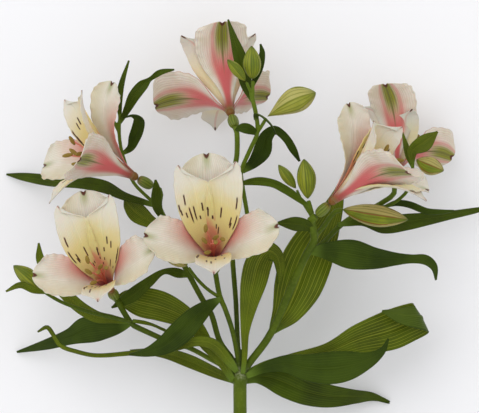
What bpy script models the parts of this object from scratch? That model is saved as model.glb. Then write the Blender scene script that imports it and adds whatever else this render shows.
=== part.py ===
"""A cut alstroemeria stem with six blooms, buds and leaves, lying on a flat surface.

The stem lies along Y, its flower head towards +Y, and Z is the height above the surface. Tables hold
millimetres, with X and Y measured from the fork where the flower stalks part. Meshes are in metres.
"""

import math

import bmesh
import bpy
from mathutils import Matrix, Vector

MM = 0.001
UP = Vector((0, 0, 1))
FORK = Vector((-3.5, -18.5, 0))  # places the origin under the middle of the whole stem
GAP = 0.3  # clearance between pieces that touch
LEAF_THICKNESS = 0.7
PETAL_THICKNESS = 0.7
FINE = 6  # steps taken along a curved path for each row of faces

# Stalks: points (x, y, z), radius at the start, radius at the end
MAIN_STALK = ((0, -130, 2.9), (0.5, -112, 5.5), (1, -80, 18), (0.5, -45, 30), (0, -15, 37.5), (0, 0, 40))
MAIN_RADIUS = 2.8
FORK_SWELLING = (0, -1.5, 39.5)
FORK_SIZE = (3.9, 5.0, 3.7)
STALKS = {
    "ray_a": (((-0.5, 0, 40), (-12.5, 6.5, 41), (-23.5, 12.5, 42), (-33, 15.5, 42.5), (-45.5, 21, 42.5),
               (-51, 24, 42)), 1.1, 1.5),
    "ray_b": (((-0.3, 1, 41), (-1.2, 9, 43), (-3.5, 20.5, 44.5), (-7, 31, 45.5), (-9.5, 37, 44)), 1.2, 1.3),
    "ray_c": (((-1, 1, 39), (-3.5, 7, 38), (-9.5, 15.5, 37.5), (-13.5, 28.5, 38), (-17.5, 35, 38),
               (-23.5, 46, 37), (-27.5, 54, 37), (-34, 70.5, 38), (-38, 79, 40.5)), 1.4, 1.4),
    "ray_d": (((0, 1, 38.5), (-1, 14, 37), (-2, 35, 35.5), (-3.5, 55, 35.5), (-4, 80, 39), (-3, 95, 43),
               (-1.5, 103, 49)), 1.2, 1.3),
    "ray_e": (((0.8, 0.5, 40), (5.5, 7, 41.5), (12, 15.5, 43.5), (16.5, 23.5, 46), (23.5, 40, 50),
               (30.5, 55.5, 54), (35, 64.5, 57)), 1.8, 1.9),
    "ray_g": (((0.6, 1, 38.5), (2.5, 18, 35), (4, 45, 34), (4, 70, 38), (1, 90, 45), (0.5, 95.5, 47.5),
               (4.7, 105.8, 52), (8.2, 114, 55), (7.4, 123, 57), (6, 129, 58), (5.2, 132.5, 58.5)), 1.1, 1.1),
    "side_a_bud": (((-51, 25, 43), (-62, 27.5, 45.5), (-72, 30, 46), (-84, 34.3, 46), (-92, 39, 46.5)), 1.0, 0.9),
    "side_b_bud": (((-9, 36, 44.3), (-15.5, 40.5, 46), (-21, 46, 45.5), (-24.3, 50.5, 45.5)), 0.9, 0.9),
    "side_c_cluster": (((-37.7, 78.5, 40.5), (-44, 84, 38), (-50.5, 91, 34), (-55.5, 104, 33), (-57, 114, 35),
                        (-56.5, 122.5, 37)), 0.9, 0.9),
    "side_c_bud": (((-57, 114, 35), (-60.5, 121.5, 36.5), (-62.2, 125.5, 37)), 0.8, 0.8),
    "side_f": (((35.2, 67, 58), (34, 75, 57), (32, 82, 57)), 1.1, 1.1),
    "side_f_small": (((34.2, 73.5, 57.2), (29.5, 81, 56.5), (26.6, 87, 56)), 0.8, 0.7),
    "side_far": (((30, 56, 54), (38.5, 61.5, 49), (47, 70, 41.5), (55, 75.5, 38.3), (63.5, 79, 38.5),
                  (68.5, 82, 41.7)), 1.3, 1.3),
    "side_h": (((61.5, 78.3, 38.3), (71, 80, 37.3), (79.5, 87.5, 37.8), (81.3, 97, 39.3),
                (81.2, 101.6, 40.2)), 0.9, 0.9),
    "side_i": (((34.8, 65, 57.3), (39, 69.5, 53), (44.2, 76.5, 49), (47.6, 77.6, 47)), 1.2, 1.2),
    "side_g1": (((6, 129, 58), (6, 134.5, 58.5), (6, 138.2, 59)), 0.9, 0.9),
    "side_g2": (((5.2, 132.5, 58.5), (3.8, 135.5, 61), (3, 137.4, 62)), 0.8, 0.8),
    "side_g4": (((8.2, 114, 55), (10.5, 117.5, 58), (12.3, 120.6, 59)), 0.9, 0.9),
}
STALK_SIDES = 6
STALK_STEP = 8
MAIN_SIDES = 10
MAIN_STEP = 12

# Leaves: points (x, y, z, half width, roll in degrees), rows of faces, faces across, cup, wave, waves
LEAVES = {
    "leaf_wide_left": (((-3.2, -3, 41, 1.3, 0), (-9.5, 7.5, 44.5, 2.6, 0), (-16, 15, 46.5, 3.2, 0),
                        (-20, 21.5, 46.5, 3.6, 0), (-27, 27.5, 45, 5.4, 0), (-36, 31.5, 41.5, 7.0, 5),
                        (-46, 34, 36.5, 7.0, 0), (-54, 35.5, 32, 4.2, 0), (-59.5, 35, 29.5, 0.4, 0)),
                       10, 4, 0.18, 0.5, 3),
    "leaf_dark_left": (((-50.5, 24.5, 41, 0.9, 0), (-58, 22.5, 39, 3.6, 0), (-66, 22, 35.5, 6.0, -8),
                        (-72.5, 21, 31.5, 6.2, -8), (-80, 17.8, 25, 3.9, 0), (-91, 14, 15, 2.6, 0),
                        (-106, 10, 0.8, 0.5, 0)), 10, 2, 0.2, 0, 0),
    "leaf_light_left": (((-2.6, -3, 39, 1.4, 0), (-12, 1, 35, 2.5, 0), (-23.5, 6, 31, 3.1, 0),
                         (-34, 9.5, 26, 2.6, 0), (-43, 10.5, 21, 1.6, 0), (-52, 11, 16, 0.4, 0)),
                        9, 2, 0.25, 0, 0),
    "leaf_arched_tail": (((-1.5, 1.5, 43.5, 1.2, 0), (-5.5, 7, 49, 2.2, 0), (-12.5, 14.5, 52, 2.6, 0),
                          (-20, 16, 52, 2.4, 0), (-30, 13.5, 49.5, 2.0, 0), (-42, 11.2, 43, 1.4, 0),
                          (-53, 10, 39, 1.1, 0), (-68, 9, 35, 1.0, 0), (-78, 11, 33.5, 1.0, 0),
                          (-84.5, 13.5, 32.5, 1.0, 0), (-88, 18.5, 31.5, 1.0, 0), (-91, 22.2, 31, 1.0, 0),
                          (-95.5, 20, 29.5, 0.4, 0)), 18, 2, 0.3, 0, 0),
    "leaf_dark_middle": (((-9, 36, 45, 0.9, 0), (-15.5, 32, 51, 3.2, 0), (-21.5, 27, 54.5, 5.0, -6),
                          (-28, 20.5, 55.5, 5.8, -10), (-35, 14.5, 54, 4.6, -6), (-43, 11, 50, 2.4, 0),
                          (-52, 9.5, 45.5, 0.4, 0)), 9, 2, 0.2, 0, 0),
    "leaf_broad_middle": (((14.5, 19.5, 44.5, 1.2, 0), (17, 23, 43, 3.4, 0), (22, 30, 41, 7.4, 0),
                           (26.5, 40, 39, 11.0, 0), (30.5, 51, 37, 12.0, 0), (35, 61, 35.5, 10.6, 0),
                           (40, 70, 34, 7.4, 0), (45, 81, 32, 4.0, 0), (48.5, 93, 29.5, 0.4, 0)),
                          10, 4, 0.1, 0.7, 3),
    "leaf_folded_middle": (((1.3, 0.5, 43, 1.1, 0), (2.2, 9, 45.5, 1.3, 0), (2.4, 20, 46.5, 2.0, 0),
                            (4, 32, 47, 4.0, 0), (6.5, 44, 47.5, 6.1, 0), (9, 53, 47, 6.2, 0),
                            (13, 58, 46.5, 4.8, 0), (17, 56, 45.5, 3.4, 0), (18.7, 50, 45, 2.4, 0),
                            (18.2, 43, 44.5, 0.4, 0)), 15, 2, 0.25, 0, 0),
    "leaf_right_upper": (((32, 58, 54.5, 1.0, 0), (40, 58.3, 54, 3.9, 0), (51.5, 57, 52, 6.9, 8),
                          (62.5, 55, 48, 5.3, 12), (73, 54.5, 42, 3.1, 0), (81, 54.5, 38, 2.1, 0),
                          (87.5, 54, 34.5, 2.4, 0), (91.5, 50.5, 32, 1.8, 0), (92.5, 44.5, 29.5, 0.4, 0)),
                         12, 2, 0.2, 0, 0),
    "leaf_right_long": (((46, 70.5, 44, 0.9, 0), (51.5, 71.5, 40, 1.6, 0), (58, 71.7, 36.5, 1.8, 0),
                         (67.5, 70.5, 33, 4.0, 10), (78.5, 71.8, 29, 3.9, 0), (89.5, 73.4, 24, 2.9, 0),
                         (99, 75, 19, 2.1, 0), (112.5, 77.5, 12, 1.3, 0), (118.5, 79, 9, 0.4, 0)),
                        11, 2, 0.25, 0, 0),
    "leaf_right_thin": (((69, 79.5, 37.4, 0.8, 0), (74, 80.8, 35, 1.4, 0), (80, 80, 33.5, 1.6, 0),
                         (88, 77, 32.5, 1.5, 0), (95, 76.7, 31, 1.1, 0), (101, 77.2, 29, 0.4, 0)),
                        8, 2, 0.3, 0, 0),
    "leaf_right_folded": (((2.5, 0.6, 40.5, 1.2, 0), (12, 4, 39, 2.4, 0), (25, 7, 37.5, 3.0, 0),
                           (42, 10.8, 35.5, 4.4, 5), (56, 16.5, 32.5, 7.2, 5), (70, 20.5, 28.5, 9.4, 0),
                           (79, 24, 27, 9.0, 0), (85.5, 26.6, 29.5, 8.0, 0), (84, 27.2, 34, 6.6, 0),
                           (76, 28, 35.5, 4.4, 0), (67, 30, 35, 0.5, 0)), 16, 2, 0.1, 0.5, 2),
    "leaf_right_dark": (((3, -0.6, 42, 1.3, 0), (12, 3.5, 45, 2.5, 0), (21.5, 5.2, 46, 4.2, 0),
                         (32, 3.5, 45.5, 6.3, -5), (42, 3.2, 44.5, 7.6, -5), (51.5, 4.5, 42.5, 6.8, 0),
                         (60.5, 7, 40.5, 3.8, 0), (67, 11.3, 39, 1.7, 0), (70, 17, 38, 0.4, 0)),
                        11, 2, 0.15, 0, 0),
    "leaf_right_low": (((2.6, -3, 38.5, 1.4, 0), (7.5, -1, 37, 3.4, 0), (14, -1.2, 35, 5.8, 0),
                        (22, -4, 32, 7.4, 0), (31, -8, 27, 6.8, 0), (42.5, -10.6, 20, 5.4, 0),
                        (54, -11, 12.5, 3.4, 0), (63, -11.2, 5.2, 1.9, 0), (71, -14, 0.6, 0.5, 0)),
                       9, 4, 0.12, 0.5, 3),
    "strap_at_ray": (((33, 78.5, 57.2, 0.8, 0), (24.5, 85, 59.5, 1.8, 0), (20.5, 87.5, 60, 1.9, 0),
                      (15.5, 90, 60, 1.9, 0), (8, 91, 59, 1.9, 0), (-2, 89.6, 57, 0.5, 0)), 9, 2, 0.3, 0, 0),
    "bract_at_ray": (((34.2, 67.5, 58, 0.6, 0), (31, 70.3, 61.5, 2.7, 0), (25.5, 71.2, 61.5, 3.3, 0),
                      (17, 71.5, 59, 0.4, 0)), 7, 2, 0.25, 0, 0),
    "leaf_top_strap": (((1.2, 95.5, 47.5, 1.0, 0), (6.5, 100, 46.5, 2.8, 0), (10.5, 105.5, 47.5, 4.2, 0),
                        (12.5, 112, 49, 3.2, 0), (16.5, 115.2, 50.5, 2.1, 0), (21.5, 111.5, 50.5, 1.9, 0),
                        (25, 106, 49, 1.8, 0), (28, 100.5, 46.5, 0.5, 0)), 12, 2, 0.2, 0, 0),
    "leaf_top_point": (((6.2, 128, 58, 0.9, 0), (3, 136.5, 53.5, 2.8, 0), (0, 149, 52.5, 3.1, 0),
                        (-3, 158.5, 53, 1.7, 0), (-5.6, 167, 52, 0.4, 0)), 8, 2, 0.2, 0, 0),
    "leaf_far_left": (((-38, 79, 40.3, 0.8, 0), (-45, 81.2, 38.3, 1.4, 0), (-54.5, 84, 35.5, 2.0, 0),
                       (-63.5, 88.3, 29, 3.0, 0), (-75, 90.5, 22, 3.0, 0), (-90, 91.5, 13, 2.8, 0),
                       (-103, 93.3, 5, 1.9, 0), (-111, 94.5, 0.6, 0.4, 0)), 11, 2, 0.25, 0, 0),
    "leaf_behind_a": (((-51.5, 24.8, 43, 0.8, 0), (-60, 26.2, 42, 2.0, 0), (-68, 27.5, 40.5, 2.8, 0),
                       (-78, 34, 37, 3.0, 0), (-88, 45, 32, 2.7, 0), (-94, 54, 31, 2.2, 0),
                       (-95, 62, 32, 0.4, 0)), 10, 2, 0.2, 0, 0),
    "leaf_twisted_middle": (((-23.8, 46.5, 37, 0.8, 0), (-29, 47.8, 37.5, 2.3, 0), (-36, 48.3, 39, 1.5, 45),
                             (-43, 43.5, 41, 2.4, 20), (-51.5, 37, 40.2, 3.2, 0), (-60.5, 31.5, 38.5, 0.4, 0)),
                            10, 2, 0.2, 0, 0),
    "leaf_c_low": (((-35.2, 70, 39, 0.8, 0), (-42, 72, 37, 3.0, 0), (-48, 76, 35, 4.6, 0),
                    (-52.5, 80, 32, 2.8, 0), (-54.5, 82.5, 30, 0.4, 0)), 8, 2, 0.25, 0, 0),
    "leaf_c_upright": (((-37, 74, 40, 0.9, 0), (-38.7, 78.5, 44.5, 2.2, 0), (-39.5, 83, 48, 2.4, 0),
                        (-39.4, 88, 50, 1.8, 0), (-39.7, 91.8, 50, 0.4, 0)), 7, 2, 0.25, 0, 0),
    "leaf_c_folded": (((-55.6, 104, 33, 0.8, 0), (-51.5, 107, 34, 1.8, 0), (-49.7, 111.5, 36, 2.8, 0),
                       (-48, 116, 38.5, 3.0, 0), (-47.5, 120.5, 41.5, 2.7, 0), (-50.5, 122.2, 43.5, 1.8, 0),
                       (-54.8, 121, 43.5, 0.4, 0)), 12, 2, 0.2, 0, 0),
    "leaf_c_twisted": (((-56.8, 118, 35.9, 0.6, 0), (-52.8, 125.5, 40, 1.9, 0), (-50, 131, 42, 2.7, 0),
                        (-46, 136, 43, 2.6, 0), (-42.3, 139.4, 43, 1.4, 50), (-37.5, 142.3, 42, 1.4, 0),
                        (-31, 143.7, 40, 0.4, 0)), 12, 2, 0.2, 0, 0),
}

# Small bracts that are one with the stalk they sit on: the same values as for a leaf
BRACTS = {
    "bract_g_left": (((8, 113.5, 55.5, 1.0, 0), (4, 115.5, 58, 2.4, 0), (1, 116, 58, 2.2, 0),
                      (-2.2, 115, 57, 0.4, 0)), 6, 2, 0.2, 0, 0),
    "bract_g_arch": (((7.4, 120, 57, 0.9, 0), (8, 122.5, 61, 1.5, 0), (11.7, 120.5, 62.5, 1.8, 0),
                      (15, 117, 61, 1.6, 0), (16.8, 113, 58.5, 0.4, 0)), 9, 2, 0.2, 0, 0),
    "bract_g_back": (((6, 136, 58.6, 0.9, 0), (8.8, 144, 54, 2.0, 0), (10.4, 151, 53.5, 1.4, 0),
                      (9.6, 155.5, 53.5, 0.4, 0)), 7, 2, 0.2, 0, 0),
    "bract_a_edge": (((-50.5, 25.5, 43.3, 0.8, 0), (-42, 24, 44.3, 1.1, 60), (-35, 21, 44.5, 1.0, 60),
                      (-29.5, 19, 44.3, 0.4, 60)), 7, 2, 0.2, 0, 0),
    "bract_a_bud": (((-91.5, 38.8, 46.5, 0.8, 0), (-97, 40, 50.5, 1.6, 0), (-103, 42.3, 51, 1.5, 0),
                     (-110, 39.3, 49, 0.4, 0)), 7, 2, 0.2, 0, 0),
    "bract_c_spike": (((-56.6, 121.5, 36.8, 0.8, 0), (-57, 129, 37, 1.6, 0), (-55.8, 137, 37, 1.4, 0),
                       (-52.4, 148, 36, 0.4, 0)), 8, 2, 0.2, 0, 0),
    "bract_h_up": (((81.3, 98, 39.5, 0.9, 0), (79.2, 104, 40.5, 1.7, 0), (76.6, 114, 38, 0.4, 0)),
                   6, 2, 0.2, 0, 0),
    "bract_h_right": (((81.1, 99.5, 39.9, 0.9, 0), (81.3, 105.5, 43.5, 2.6, 0), (87, 109.5, 44, 4.0, 0),
                       (93, 114.4, 42, 0.4, 0)), 8, 2, 0.2, 0, 0),
}

# Buds: base (x, y, z), tip (x, y, z), greatest radius, bend sideways, share of the length at the greatest radius
BUDS = {
    "bud_left": ((-92.7, 39.7, 46.6), (-106.5, 51.5, 49), 4.0, 0.5, 0.5),
    "bud_speckled": ((-24.8, 51.3, 45.6), (-38, 61, 48), 4.3, 0.5, 0.45),
    "bud_c": ((-62.4, 126.2, 37.2), (-66, 137.5, 38), 2.9, 0.3, 0.45),
    "bud_top_upright": ((6, 138.9, 59.1), (5.4, 154.5, 60), 4.3, 0, 0.45),
    "bud_top_left": ((2.5, 138, 62.5), (-6, 148, 65.5), 2.6, 0.3, 0.5),
    "bud_top_large": ((12.8, 121.3, 59.2), (35.5, 132.6, 62), 6.0, -1.0, 0.62),
    "bud_ray_large": ((31.8, 82.8, 57), (30, 101.5, 58), 4.5, 0.4, 0.5),
    "bud_ray_small": ((26.2, 87.7, 55.9), (18, 98.8, 57), 2.6, 0, 0.5),
    "bud_striped": ((83, 101.2, 40.1), (96, 96, 41), 4.3, 0.4, 0.5),
    "bud_low_large": ((48.3, 77.8, 46.8), (79, 73, 47), 5.2, 0.6, 0.5),
}
BUD_SIDES = 8
BUD_RINGS = 6

# Tepals of a bloom: kind, azimuth from the top tepal at the root and at the tip, angle to the bloom's axis
# at the root and at the tip (degrees), length, greatest half width, turn about its own length (degrees)
TEPALS = {
    "top": ("outer", 0, 0, 14, 84, 56, 12.8, 0),
    "right": ("outer", 108, 79, 12, 74, 50, 11.3, 0),
    "left": ("outer", -108, -79, 12, 74, 50, 11.3, 0),
    "inner_right": ("inner", 45, -8, 6, 78, 55, 8.4, 0),
    "inner_left": ("inner", -45, 8, 6, 78, 55, 8.4, 0),
    "low": ("inner", 180, 180, 8, 58, 47, 8.5, 0),
}
# Share of the greatest half width at equal steps from the root to the tip
OUTLINES = {
    "outer": (0.12, 0.17, 0.3, 0.52, 0.78, 0.95, 1.0, 0.93, 0.6),
    "inner": (0.18, 0.27, 0.42, 0.64, 0.86, 0.98, 1.0, 0.82, 0.06),
}
# Faces across, cup, wave, depth of the notch at the tip, how far the corners of the tip are drawn back
TEPAL_FORM = {
    "outer": (4, 0.25, 0.7, 0.8, 4.4),
    "inner": (2, 0.25, 0, 0, 0),
}
TEPAL_ROWS = 6
# Where along its length an inner tepal is widest, and how far its tip leans away from the top tepal
WIDEST = 0.7
TIP_LEAN = 1.2
ROOT_RADIUS = 1.7
INNER_ROOT = 0.7
OPENING = 1.2
ROOT_LENGTH = 4.8
ROOT_WIDTH = 2.1
OVARY_LENGTH = 8.0
# How round the ends of an ovary are: 1 for a ball, less for a barrel
BLUNT = 0.55
OVARY_RADIUS = 2.5
FILAMENTS = 6
FILAMENT_RADIUS = 0.45
FILAMENT_DROOP = 4
# How far the shortest filament and the style reach, each other filament's extra, and how far they spread
FILAMENT_REACH = 25
STYLE_REACH = 24
REACH_STEP = 4
FILAMENT_SPREAD = 3.5
STYLE_SPREAD = 0.5
SPREAD_STEP = 1.5
ANTHER = (1.0, 1.0, 2.4)
STAMEN_FOOT = 1.0
# Length of the straight end of a flower stalk
STRAIGHT_END = 4

# Blooms: root of the tepals, direction the bloom faces, direction of the top tepal, size, changes to tepals
BLOOMS = {
    "bloom_a": ((-61, 40.6, 53), (-0.22, 0.40, 0.89), (-0.22, 1, 0), 0.93, {}),
    "bloom_b": ((-12, 53.5, 54), (-0.04, 0.42, 0.91), (-0.07, 1, 0), 1.0, {}),
    "bloom_c": ((-50, 93.5, 48), (-0.82, 0.46, 0.34), (0.3, 1, 0), 0.93, {
        "top": ("outer", -5, -5, 12, 92, 52, 8.5, 45),
        "right": ("outer", 112, 104, 10, 62, 48, 14.0, 0),
        "left": ("outer", -118, -122, 10, 78, 50, 12.5, 0),
        "inner_right": ("inner", 40, 18, 6, 54, 60, 6.5, 0),
        "inner_left": ("inner", -45, -36, 6, 64, 54, 8.0, 0),
        "low": ("inner", 180, 178, 8, 88, 50, 5.5, 0),
    }),
    "bloom_d": ((-4.5, 123.5, 45), (-0.2, 0.65, -0.73), (-0.1, 1, 0), 0.9, {
        "top": ("outer", 0, 0, 16, 92, 50, 14.0, 0),
        "right": ("outer", 110, 106, 18, 104, 47, 17.0, 0),
        "left": ("outer", -112, -110, 18, 92, 35, 15.0, 0),
        "inner_right": ("inner", 50, 14, 10, 76, 49, 7.0, 0),
        "inner_left": ("inner", -50, -14, 10, 74, 46, 7.0, 0),
        "low": ("inner", 176, 178, 14, 98, 47, 7.5, 0),
    }),
    "bloom_e": ((43.5, 82, 64), (0.70, 0.65, 0.30), (-0.4, 1, 0), 1.0, {
        "top": ("outer", 4, 0, 10, 70, 48, 8.2, -65),
        "right": ("outer", 142, 158, 10, 76, 47, 12.0, 0),
        "left": ("outer", -122, -130, 10, 58, 53, 14.5, 0),
        "inner_right": ("inner", 45, 50, 6, 32, 47, 9.0, 0),
        "inner_left": ("inner", -40, -20, 6, 36, 48, 9.0, 0),
        "low": ("inner", 184, 180, 9, 78, 48, 7.0, 0),
    }),
    "bloom_f": ((74.5, 97, 34), (0.15, 0.80, -0.58), (-0.1, 1, 0), 0.82, {
        "top": ("outer", 0, 0, 14, 84, 52, 14.0, 0),
        "inner_right": ("inner", 45, 32, 6, 80, 46, 8.5, 0),
        "inner_left": ("inner", -40, -4, 6, 78, 36, 7.5, 0),
        "right": ("outer", 126, 120, 16, 96, 44, 11.5, 0),
        "left": ("outer", -136, -146, 16, 96, 44, 14.0, -55),
        "low": ("inner", 180, 180, 8, 70, 40, 7.0, 0),
    }),
}

COLOURS = {
    "stalk green": (0.16, 0.24, 0.07),
    "leaf green": (0.10, 0.17, 0.05),
    "bud green": (0.30, 0.36, 0.08),
    "tepal cream": (0.72, 0.66, 0.52),
    "anther brown": (0.30, 0.20, 0.06),
}


def clear_scene():
    for old in list(bpy.data.objects):
        bpy.data.objects.remove(old)


def collection(name):
    made = bpy.data.collections.new(name)
    bpy.context.scene.collection.children.link(made)
    return made


def material(name):
    made = bpy.data.materials.new(name)
    made.use_nodes = True
    shader = made.node_tree.nodes["Principled BSDF"]
    shader.inputs["Base Color"].default_value = (*COLOURS[name], 1)
    shader.inputs["Roughness"].default_value = 0.55
    return made


def smooth(points, share):
    """The point at a share of the way along a smooth curve through the points, with what each one carries"""
    steps = [(Vector(b[:3]) - Vector(a[:3])).length for a, b in zip(points, points[1:])]
    ends = [sum(steps[:i]) for i in range(len(points))]
    at = share * ends[-1]
    i = max(k for k in range(len(steps)) if ends[k] <= at + 1e-9)
    t = (at - ends[i]) / steps[i]

    def slope(k):
        low, high = max(k - 1, 0), min(k + 1, len(points) - 1)
        return [(q - p) / (ends[high] - ends[low]) for p, q in zip(points[low], points[high])]

    weights = (2 * t**3 - 3 * t**2 + 1, t**3 - 2 * t**2 + t, 3 * t**2 - 2 * t**3, t**3 - t**2)
    parts = zip(points[i], slope(i), points[i + 1], slope(i + 1))
    return [
        weights[0] * a + weights[1] * steps[i] * m + weights[2] * b + weights[3] * steps[i] * n
        for a, m, b, n in parts
    ]


def add_object(name, bm, group, paint):
    mesh = bpy.data.meshes.new(name)
    bmesh.ops.transform(bm, matrix=Matrix.Scale(MM, 4) @ Matrix.Translation(FORK), verts=bm.verts)
    bm.to_mesh(mesh)
    bm.free()
    mesh.materials.append(paint)
    made = bpy.data.objects.new(name, mesh)
    group.objects.link(made)
    return made


def applied(obj):
    """Leaves the object with the mesh that its modifiers make"""
    graph = bpy.context.evaluated_depsgraph_get()
    mesh = bpy.data.meshes.new_from_object(obj.evaluated_get(graph))
    obj.modifiers.clear()
    obj.data = mesh
    return obj


def joined(obj, group):
    """Joins everything in the group to the object and removes the group"""
    union = obj.modifiers.new("Union", "BOOLEAN")
    union.operation = "UNION"
    union.solver = "MANIFOLD"
    union.operand_type = "COLLECTION"
    union.collection = group
    applied(obj)
    for used in list(group.objects):
        bpy.data.objects.remove(used)
    bpy.data.collections.remove(group)
    return obj


def cut_clear(obj, cutter):
    cut = obj.modifiers.new("Clearance", "BOOLEAN")
    cut.solver = "MANIFOLD"
    cut.object = cutter


def tube(name, route, first, last, sides, step, group, paint):
    """A round stalk along a smooth route, as a closed mesh"""
    length = sum((Vector(b) - Vector(a)).length for a, b in zip(route, route[1:]))
    count = max(2, round(length / step))
    curve = bpy.data.curves.new(name, "CURVE")
    curve.dimensions = "3D"
    curve.bevel_depth = MM
    curve.bevel_resolution = sides // 2 - 2
    curve.use_fill_caps = True
    spline = curve.splines.new("POLY")
    spline.points.add(count)
    for i, point in enumerate(spline.points):
        share = i / count
        place = (Vector(smooth(route, share)) + FORK) * MM
        point.co = (*place, 1)
        point.radius = first + (last - first) * share
    drawn = bpy.data.objects.new(name + "_curve", curve)
    group.objects.link(drawn)
    graph = bpy.context.evaluated_depsgraph_get()
    mesh = bpy.data.meshes.new_from_object(drawn.evaluated_get(graph))
    bpy.data.objects.remove(drawn)
    bm = bmesh.new()
    bm.from_mesh(mesh)
    bmesh.ops.remove_doubles(bm, verts=bm.verts, dist=1e-6)
    bm.to_mesh(mesh)
    bm.free()
    mesh.materials.clear()
    mesh.materials.append(paint)
    made = bpy.data.objects.new(name, mesh)
    group.objects.link(made)
    return made


def ball(name, place, sizes, turn, sides, rings, group, paint, blunt=1):
    bm = bmesh.new()
    bmesh.ops.create_uvsphere(bm, u_segments=sides, v_segments=rings, radius=1)
    for vert in bm.verts:
        out = math.hypot(vert.co.x, vert.co.y)
        if out > 1e-6:
            vert.co.xy *= out ** (blunt - 1)
    shape = Matrix.Translation(place) @ turn.to_4x4() @ Matrix.Diagonal((*sizes, 1))
    bmesh.ops.transform(bm, matrix=shape, verts=bm.verts)
    return add_object(name, bm, group, paint)


def sheet(name, rows, across, cup, wave, waves, thickness, group, paint, notch=0, corner=0):
    """A thin blade: a grid bent along rows, each one a point, its side, its normal and a half width

    The end can have a notch in its middle and corners drawn back.
    """
    bm = bmesh.new()
    last = len(rows) - 1
    bmesh.ops.create_grid(bm, x_segments=across, y_segments=last, size=1)
    for vert in bm.verts:
        v = vert.co.x
        share = (vert.co.y + 1) / 2
        point, side, normal, half = rows[round(share * last)]
        lift = cup * half * v * v + wave * math.sin(2 * math.pi * waves * share + v) * abs(v) * v
        vert.co = point + side * (half * v) + normal * lift
        if round(share * last) == last:
            vert.co += side.cross(normal) * (notch * (1 - abs(v)) ** 2 + corner * v * v)
    bmesh.ops.triangulate(bm, faces=bm.faces)
    made = add_object(name, bm, group, paint)
    solid = made.modifiers.new("Thickness", "SOLIDIFY")
    solid.thickness = thickness * MM
    solid.offset = 0
    return made


def leaf_rows(points, count):
    """Rows for a blade along a smooth path, level across it at the start and then carried along"""
    steps = count * FINE
    path = [smooth(points, i / steps) for i in range(steps + 1)]
    places = [Vector(p[:3]) for p in path]
    side = (places[1] - places[0]).cross(UP).normalized()
    rows = []
    for i in range(steps + 1):
        along = (places[min(i + 1, steps)] - places[max(i - 1, 0)]).normalized()
        side = (side - along * side.dot(along)).normalized()
        if i % FINE == 0:
            roll = Matrix.Rotation(math.radians(path[i][4]), 3, along)
            across = roll @ side
            rows.append((places[i], across, across.cross(along), max(path[i][3], 0.3)))
    return rows


def leaf(name, values, group, paint, extra=0):
    points, count, across, cup, wave, waves = values
    rows = [(place, side, normal, half + extra) for place, side, normal, half in leaf_rows(points, count)]
    return sheet(name, rows, across, cup, wave, waves, LEAF_THICKNESS + 2 * extra, group, paint)


def bloom_frame(face, top):
    facing = Vector(face).normalized()
    upward = Vector(top)
    upward = (upward - facing * upward.dot(facing)).normalized()
    return facing, upward, upward.cross(facing)


def radial(frame, azimuth):
    return frame[1] * math.cos(math.radians(azimuth)) + frame[2] * math.sin(math.radians(azimuth))


def tepal_rows(frame, root, size, values):
    """Rows for a tepal that leaves the axis of the bloom and opens outwards along an arc"""
    kind, azimuth_root, azimuth_tip, angle_root, angle_tip, length, half, roll = values
    lean = TIP_LEAN * math.sin(math.radians(azimuth_root)) if kind == "inner" else 0
    outline = [(i, 0, 0, w) for i, w in enumerate(OUTLINES[kind])]
    steps = TEPAL_ROWS * FINE
    place = root + radial(frame, azimuth_root) * ROOT_RADIUS * (1 if kind == "outer" else INNER_ROOT)
    rows = []
    for i in range(steps + 1):
        share = i / steps
        outward = radial(frame, azimuth_root + (azimuth_tip - azimuth_root) * share)
        angle = math.radians(angle_root + (angle_tip - angle_root) * share**OPENING)
        along = frame[0] * math.cos(angle) + outward * math.sin(angle)
        inward = frame[0] * math.sin(angle) - outward * math.cos(angle)
        if i % FINE == 0:
            width = max(smooth(outline, share)[3], 0.05) * half * size
            turn = Matrix.Rotation(math.radians(roll) * share, 3, along)
            side = turn @ along.cross(inward)
            spare = half * size - width if share > WIDEST else 0
            rows.append((place + side * lean * spare, side, turn @ inward, max(width, 0.4)))
        place += along * length * size / steps
    return rows


def perianth(name, values, parts, paint):
    """The six tepals of a bloom, one with the small ball where they join"""
    place, face, top, size, changes = values
    frame = bloom_frame(face, top)
    root = Vector(place)
    turn = frame[0].to_track_quat("Z", "Y").to_matrix()
    body = ball(name, root, (ROOT_WIDTH, ROOT_WIDTH, ROOT_LENGTH / 2), turn, 8, 6, parts, paint)
    petals = collection(name + " tepals")
    for key, standard in TEPALS.items():
        own = changes.get(key, standard)
        rows = tepal_rows(frame, root, size, own)
        across, cup, wave, notch, corner = TEPAL_FORM[own[0]]
        blade = sheet(name + key, rows, across, cup, wave, 2, PETAL_THICKNESS, petals, paint, notch, corner)
        applied(blade)
    return joined(body, petals)


def ovary(name, values, parts, paint):
    place, face, top, size, changes = values
    frame = bloom_frame(face, top)
    middle = Vector(place) - frame[0] * (ROOT_LENGTH / 2 + GAP + OVARY_LENGTH / 2)
    turn = frame[0].to_track_quat("Z", "Y").to_matrix()
    sizes = (OVARY_RADIUS, OVARY_RADIUS, OVARY_LENGTH / 2)
    return ball(name, middle, sizes, turn, 8, 6, parts, paint, BLUNT)


def stalk_end(values):
    """The last two points of a flower stalk, which meets its ovary squarely and stops just short of it"""
    place, face, top, size, changes = values
    facing = Vector(face).normalized()
    end = Vector(place) - facing * (ROOT_LENGTH / 2 + 3 * GAP + OVARY_LENGTH)
    return tuple(end - facing * STRAIGHT_END), tuple(end)


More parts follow.
